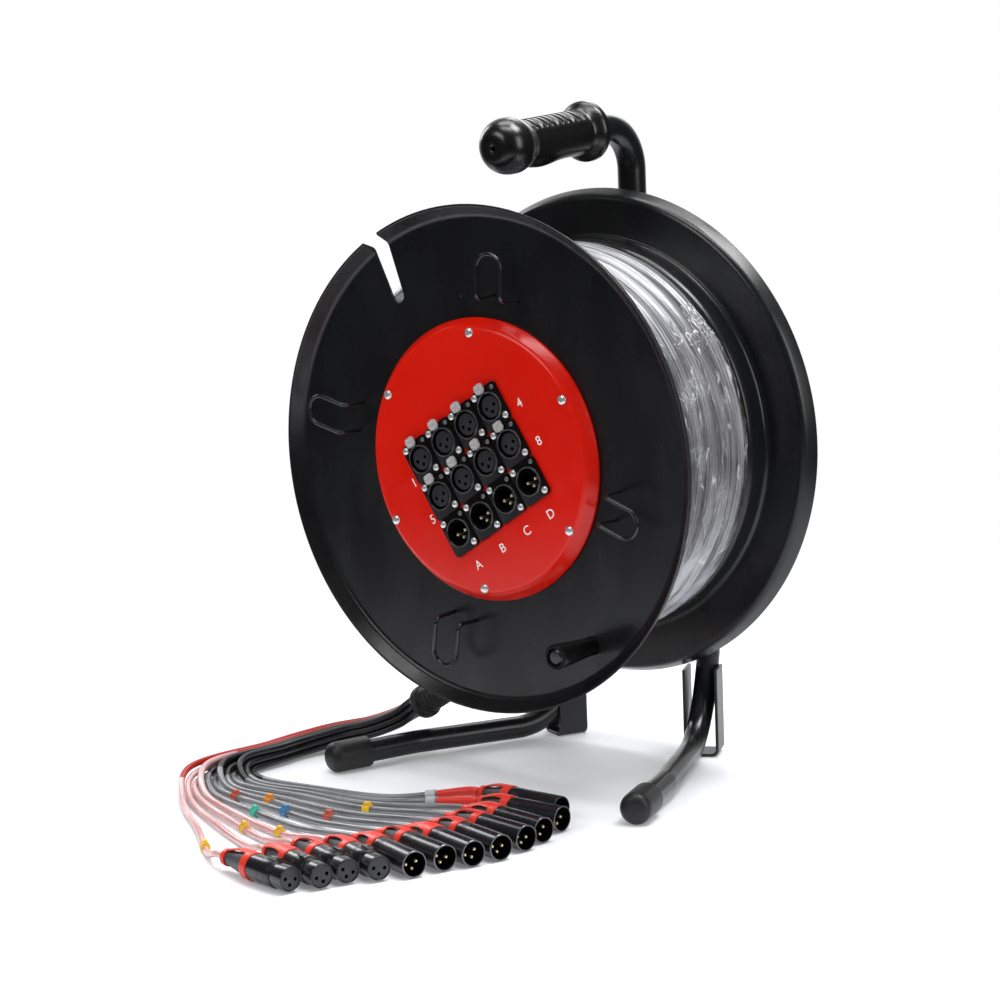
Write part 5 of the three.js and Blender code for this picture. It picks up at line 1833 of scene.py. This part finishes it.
# %% Plug finishes
ring_pair = ((0.72, 0.03, 0.012), (0.62, 0.022, 0.01))
clamp_pair = ((0.035, 0.034, 0.037), (0.055, 0.053, 0.056))
nose_pair = ((0.018, 0.018, 0.021), (0.03, 0.03, 0.034))
edge_pair = ((0.1, 0.1, 0.105), (0.16, 0.16, 0.165))
red_plastic = grained_finish("red_plastic", ring_pair, (0.3, 0.44), 1200.0, 0.00004)
grey_clamp = grained_finish("grey_clamp", clamp_pair, (0.4, 0.55), 1400.0, 0.00004)
grey_nose = grained_finish("grey_nose", nose_pair, (0.42, 0.56), 1800.0, 0.00003)
edge_metal = grained_finish("edge_metal", edge_pair, (0.2, 0.3), 1500.0, metallic=0.8)
plug_finishes = [plating, red_plastic, grey_clamp, painted_hole_shade]
plug_finishes += [edge_metal, gold_contact, grey_nose, painted_hole_shade]
in_shell, in_ring, in_clamp, in_hole_shade, in_edge, in_gold, in_nose = range(7)
print("finishes on a plug:", len(plug_finishes))

# %% Plug meshes
shell_radius = 9.5
ring_width = 7.0
clamp_tail = 4.2


def add_plug_rear(shape, ring_front):
    """Grooves, the red ring with its marks, the grey clamp and the red strap behind it."""
    ring_back = ring_front + ring_width
    edge = [(shell_radius, ring_front - 3.0), (shell_radius, ring_front - 0.5)]
    edge += [(shell_radius - 0.3, ring_front - 0.3), (8.4, ring_front)]
    shape.add_turned(softened(edge, 0.3), 64, in_shell)
    band = [(8.6, ring_front), (10.2, ring_front), (10.2, ring_back), (8.6, ring_back)]
    shape.add_turned(softened(band, 0.7, 4), 64, in_ring)
    for k in range(24):
        if k % 12 > 4:
            continue
        turn = math.radians(15 * k + 60)
        rib = Matrix.Rotation(turn, 4, "Y") @ Matrix.Translation((9.93, (ring_front + ring_back) / 2, 0))
        half = ((-0.25, -2.4, -0.4), (0.25, -2.4, -0.4), (0.25, 2.4, -0.4), (-0.25, 2.4, -0.4))
        rings = [[(x, y, z * s) for x, y, z in half] for s in (1.0, -1.0)]
        shape.add_rings(rings, in_ring, place=rib)
    long = plug_length - ring_back
    taper = [(8.8, ring_back), (8.6, ring_back + 2.0), (7.4, ring_back + 0.3 * long)]
    taper += [(5.6, ring_back + 0.65 * long), (clamp_tail, plug_length), (2.6, plug_length)]
    shape.add_turned(softened(taper, 1.2, 4), 64, in_clamp)
    for k in range(4):
        share = 0.22 + 0.17 * k
        y = ring_back + share * long
        width = 8.3 - 4.0 * share
        notch = [(width - 0.9, y), (width + 0.2, y + 0.5), (width - 0.1, y + 1.7), (width - 1.2, y + 2.2)]
        shape.add_turned(softened(notch, 0.3), 48, in_clamp)
    strap_rings = []
    for k in range(21):
        share = k / 20
        y = ring_back - 1.5 + (long - 1.5) * share
        middle = 9.6 - 4.2 * share + 1.5 * math.sin(math.pi * share)
        spread_out = math.radians(30 - 6 * math.sin(math.pi * share))
        strap_row = []
        for lift, ways in ((0.6, range(9)), (-0.6, range(8, -1, -1))):
            for w in ways:
                turn = spread_out * (w - 4) / 4
                strap_row.append(((middle + lift) * math.sin(turn), y, (middle + lift) * math.cos(turn)))
        strap_rings.append(strap_row)
    shape.add_rings(strap_rings, in_ring)
    front, back = plug_length - 5.0, plug_length - 0.6
    loop = softened([(5.0, front), (6.3, front), (6.1, back), (4.8, back)], 0.5, 4)
    shape.add_turned(loop + [(5.0, front)], 48, in_ring)


print("red ring in mm:", ring_width)

# %% Two kinds of plug
def male_plug():
    """An open cup with three pins, and a shell with three grooves."""
    shape = Shape()
    cup = [(0, 14.0), (8.1, 14.0), (8.1, 0.35), (8.4, 0.0)]
    # painted shade: the cup's inside is painted near-black, as shade on its walls
    shape.add_turned(softened(cup, 0.3), 72, in_hole_shade)
    shape.add_turned([(8.4, 0.0), (8.75, 0.0)], 72, in_shell)
    shape.add_turned([(8.75, 0.0), (9.2, 0.0)], 72, in_edge)
    shape.add_turned([(9.2, 0.0), (shell_radius, 0.35)], 72, in_edge)
    body = [(shell_radius, 0.35)]
    for y in (36.0, 38.6, 41.2):
        body += [(shell_radius, y), (9.0, y + 0.25), (9.0, y + 0.75), (shell_radius, y + 1.0)]
    body += [(shell_radius, 43.5)]
    shape.add_turned(body, 72, in_shell)
    add_plug_rear(shape, 46.0)
    add_pins(shape, in_gold, in_edge, 14.2, 4.4)
    return shape.to_mesh("male_plug", 35.0)


def female_plug():
    """A grey face with three holes, a shell with one groove and a latch button."""
    shape = Shape()
    shape.add_mesh(contact_insert("plug_nose", 7.9, 0.5, 12.0), in_nose)
    nose = [(7.9, 0.9), (7.9, 0.2), (8.5, 0.0), (8.7, 0.3), (8.7, 12.6)]
    nose += [(8.2, 12.8), (8.2, 13.8), (9.3, 14.0), (shell_radius, 14.4)]
    shape.add_turned(softened(nose, 0.2), 72, in_shell)
    body = [(shell_radius, 14.4), (shell_radius, 26.0), (9.2, 26.4), (9.2, 27.2)]
    body += [(shell_radius, 27.6), (shell_radius, 38.5)]
    shape.add_turned(body, 72, in_shell)
    add_plug_rear(shape, 41.0)
    low = [(-2.25, 15.5), (2.25, 15.5), (2.25, 24.5), (-2.25, 24.5)]
    rings = [[(x, y, 8.6) for x, y in low], [(x, y, 11.0) for x, y in low]]
    rings.append([(x * 0.8, 20 + (y - 20) * 0.86, 11.4) for x, y in low])
    shape.add_rings(rings, in_edge)
    return shape.to_mesh("female_plug", 35.0)


male_mesh, female_mesh = male_plug(), female_plug()
for mesh in (male_mesh, female_mesh):
    for finish in plug_finishes:
        mesh.materials.append(finish)
print("faces in a male and a female plug:", len(male_mesh.polygons), len(female_mesh.polygons))

# %% Twelve plugs
plug_rolls = (10, -14, 22, 6, -8, 16, -20, 5, 12, -10, 0, 8)
for plug_place, roll in zip(plug_places, plug_rolls):
    name, x, y, heading = plug_place
    turn = Matrix.Rotation(math.radians(heading + 90), 4, "Z") @ Matrix.Rotation(math.radians(roll), 4, "Y")
    place = Matrix.Translation(plug_rear(plug_place, 0)) @ turn
    mesh = (male_mesh if name.startswith("send") else female_mesh).copy()
    mesh.transform(Matrix.Translation(place.translation / 1000.0) @ turn)
    set_up(f"{name}_shell", mesh, [], "stand", [name])
print("plugs:", len(plug_places))

# %% [markdown]
# ## Sleeves and markers
# Behind each send plug a short red sleeve grips the tail. On the last two it is longer and ends
# in a grey collar. Small coloured clips on the tails tell them apart.
# They could be modelled straight and bent with a modifier. Here each is a tube along a piece of
# its tail's own route, so it can't leave the tail.

# %% Sleeves behind the plugs
def route_piece(route, start, length, step=1.5):
    """The part of a route that starts a given length along it."""
    fine = fine_route(route, step)
    run, part = 0.0, []
    for a, b in zip(fine, fine[1:]):
        if start <= run <= start + length:
            part.append(a)
        run += (b - a).length
    return part


def flared_sleeve(part):
    """A tube that widens toward the plug."""
    last = len(part) - 1

    def radius(k):
        return 2.9 + 1.2 * (k / last) ** 1.5

    return add_tube(Shape(), part, radius, 28).to_mesh("sleeve", 60.0)


collar_pair = ((0.36, 0.36, 0.37), (0.46, 0.46, 0.47))
collar_plastic = grained_finish("collar_plastic", collar_pair, (0.4, 0.5), 1200.0, 0.00003)
long_sleeved = ("send_plug_7", "send_plug_8")
send_tails = list(zip(tail_routes, plug_places))[4:]
for route, (name, *_) in send_tails:
    whole = route_length(route)
    length = 36.0 if name in long_sleeved else 9.0
    sleeve = flared_sleeve(route_piece(route, whole - length - 1.0, length))
    set_up(f"{name}_sleeve", sleeve, [red_plastic], "stand")
    if name in long_sleeved:
        part = route_piece(route, whole - length - 10.0, 9.0)
        collar = add_tube(Shape(), part, 3.6, 28).to_mesh("collar", 40.0)
        set_up(f"{name}_collar", collar, [collar_plastic], "stand")
print("sleeves behind", len(send_tails), "plugs")

# %% Marker clips
marker_colours = {
    "yellow": (0.85, 0.52, 0.03),
    "orange": (0.85, 0.3, 0.03),
    "teal": (0.06, 0.5, 0.36),
    "blue": (0.06, 0.2, 0.42),
    "brick": (0.6, 0.1, 0.06),
}
marker_finishes = {}
for colour_name, colour in marker_colours.items():
    deep = tuple(0.8 * part for part in colour)
    marker_finishes[colour_name] = grained_finish(
        f"marker_{colour_name}", (colour, deep), (0.3, 0.42), 1300.0, 0.00003
    )
marker_places = [
    (0, 426.0, "yellow"),
    (2, 388.0, "yellow"),
    (3, 397.0, "yellow"),
    (4, 330.0, "teal"),
    (5, 278.0, "brick"),
    (5, 341.0, "blue"),
    (6, 288.0, "orange"),
    (6, 358.0, "brick"),
    (8, 355.0, "yellow"),
]
clip_width = 7.0
clip_edge = 1.4


print("clip colours:", ", ".join(marker_colours))

# %% Clips on the tails
def marker_clip(route, start):
    """A split ring with a small flat flag on top."""
    lowest = min(p.z for p in route_piece(route, start, clip_width))
    rise = Vector((0, 0, max(0.0, 3.75 - drum_height - lowest)))
    part = [p + rise for p in route_piece(route, start, clip_width, 0.8)]
    shape = add_tube(Shape(), part, 3.3, 24)
    for k in (0.0, clip_width - clip_edge):
        end = [p + rise for p in route_piece(route, start + k, clip_edge, 0.5)]
        add_tube(shape, end, 3.65, 24)
    middle = part[len(part) // 2]
    way = (part[-1] - part[0]).normalized()
    side = way.cross(Vector((0, 0, 1))).normalized()
    rings = []
    for z, half in ((3.2, 1.7), (5.2, 1.5), (5.5, 1.2)):
        centre = middle + Vector((0, 0, z))
        rings.append([centre + way * 2.6 * a + side * half * b for a, b in square_corners])
    return shape.add_rings(rings).to_mesh("marker_clip", 40.0)


for k, (tail, start, colour_name) in enumerate(marker_places):
    name = f"marker_{k + 1}_{plug_places[tail][0]}"
    clip = marker_clip(tail_routes[tail], start)
    set_up(name, clip, [marker_finishes[colour_name]], "stand")
print("markers:", len(marker_places))

# %% [markdown]

# %% [markdown]
# ## Floor and light
# The photo is a cut-out on white: a pale floor that keeps a soft shadow and fades out toward its
# edge, and a white world that only the camera and the reflections behind the reel see.
# Raising the light until the floor clips would also wash the black enamel out. So the floor and
# the world have their own brightness for the camera, and the lamps stay at a plain level.

# %% Floor
floor_mesh = bpy.data.meshes.new("floor")
floor_half = 3.0
floor_lift = 0.15
floor_corners = [(-1, -1), (1, -1), (1, 1), (-1, 1)]
floor_mesh.from_pydata([(floor_half * x, floor_half * y, 0) for x, y in floor_corners], [], [(0, 1, 2, 3)])
floor = bpy.data.objects.new("floor", floor_mesh)
bpy.context.collection.objects.link(floor)
finish, tree, shader = new_material("pale_floor")
shader.inputs["Base Color"].default_value = (0.82, 0.83, 0.87, 1.0)
shader.inputs["Roughness"].default_value = 0.55
shader.inputs["Specular IOR Level"].default_value = 0.25
light_path = tree.nodes.new("ShaderNodeLightPath")
lift = tree.nodes.new("ShaderNodeEmission")
lift.inputs["Color"].default_value = (1.0, 1.0, 1.0, 1.0)
seen = combine(
    tree, "MAXIMUM", light_path.outputs["Is Camera Ray"], light_path.outputs["Is Glossy Ray"]
)
seen = combine(tree, "MAXIMUM", seen, light_path.outputs["Is Transmission Ray"])
seen = combine(tree, "MULTIPLY", seen, floor_lift)
tree.links.new(seen, lift.inputs["Strength"])
both = tree.nodes.new("ShaderNodeAddShader")
tree.links.new(shader.outputs[0], both.inputs[0])
tree.links.new(lift.outputs[0], both.inputs[1])
floor_out = tree.nodes["Material Output"]
fade_centre = Vector((0.0, -0.15, 0.0))
spot = tree.nodes.new("ShaderNodeNewGeometry").outputs["Position"]
away = tree.nodes.new("ShaderNodeVectorMath")
away.operation = "DISTANCE"
away.inputs[1].default_value = fade_centre
tree.links.new(spot, away.inputs[0])
fade = spread(tree, away.outputs["Value"], 0.0, 1.0, 0.5, 1.0)
nothing = tree.nodes.new("ShaderNodeBsdfTransparent")
faded = tree.nodes.new("ShaderNodeMixShader")
tree.links.new(fade, faded.inputs[0])
tree.links.new(both.outputs[0], faded.inputs[1])
tree.links.new(nothing.outputs[0], faded.inputs[2])
tree.links.new(faded.outputs[0], floor_out.inputs["Surface"])
floor_mesh.materials.append(finish)
print("floor:", 2 * floor_half, "m wide")

# %% World
ambient = 0.35
behind_reel = (-0.62, 0.77)
world = bpy.data.worlds.new("white_world")
bpy.context.scene.world = world
world.use_nodes = True
sky = world.node_tree
background = sky.nodes["Background"]
background.inputs["Color"].default_value = (1.0, 1.0, 1.0, 1.0)
path = sky.nodes.new("ShaderNodeLightPath")
shown = combine(sky, "MAXIMUM", path.outputs["Is Camera Ray"], path.outputs["Is Transmission Ray"])
heading = sky.nodes.new("ShaderNodeSeparateXYZ")
sky.links.new(sky.nodes.new("ShaderNodeTexCoord").outputs["Generated"], heading.inputs[0])
behind = combine(sky, "MULTIPLY", heading.outputs["Y"], behind_reel[1])
behind = combine(sky, "ADD", behind, combine(sky, "MULTIPLY", heading.outputs["X"], behind_reel[0]))
studio = spread(sky, behind, 0.04, 1.0, 0.5, 0.95)
shown = combine(sky, "MAXIMUM", shown, combine(sky, "MULTIPLY", path.outputs["Is Glossy Ray"], studio))
not_glossy = combine(sky, "SUBTRACT", 1.0, path.outputs["Is Glossy Ray"])
strength = combine(sky, "MAXIMUM", shown, combine(sky, "MULTIPLY", not_glossy, ambient))
sky.links.new(strength, background.inputs["Strength"])
print("light from all round:", ambient)

# %% Lamps
def soft_light(name, size, power, place, aim_at):
    data = bpy.data.lights.new(name, "AREA")
    data.shape = "RECTANGLE"
    data.size, data.size_y = size
    data.energy = power
    light = bpy.data.objects.new(name, data)
    bpy.context.collection.objects.link(light)
    light.location = place
    light.rotation_euler = (Vector(aim_at) - Vector(place)).to_track_quat("-Z", "Y").to_euler()


lamps = (
    ("top_softbox", (1.1, 0.7), 13.0, (-0.3, 0.3, 1.92), (0, 0, 0.2)),
    ("plug_softbox", (1.0, 0.36), 9.0, (0.15, -0.46, 1.9), (0.05, -0.25, 0)),
    ("rim_softbox", (0.7, 0.7), 26.0, (0.56, 0.32, 1.92), (0.1, 0.06, 0.4)),
    ("right_softbox", (0.7, 1.2), 10.0, (1.7, -0.1, 0.9), (0, 0, 0.25)),
    ("left_softbox", (0.3, 0.6), 4.0, (-1.17, 0.21, 0.85), (0.1, -0.25, 0)),
    ("back_softbox", (0.8, 0.8), 6.0, (-0.6, 1.4, 1.25), (0, 0, 0.3)),
    ("front_softbox", (1.1, 0.7), 11.0, (-0.5, -1.8, 1.4), (0, 0, 0.2)),
)
for lamp in lamps:
    soft_light(*lamp)
bpy.context.scene.view_settings.view_transform = "Standard"
print("lamps:", len(lamps))
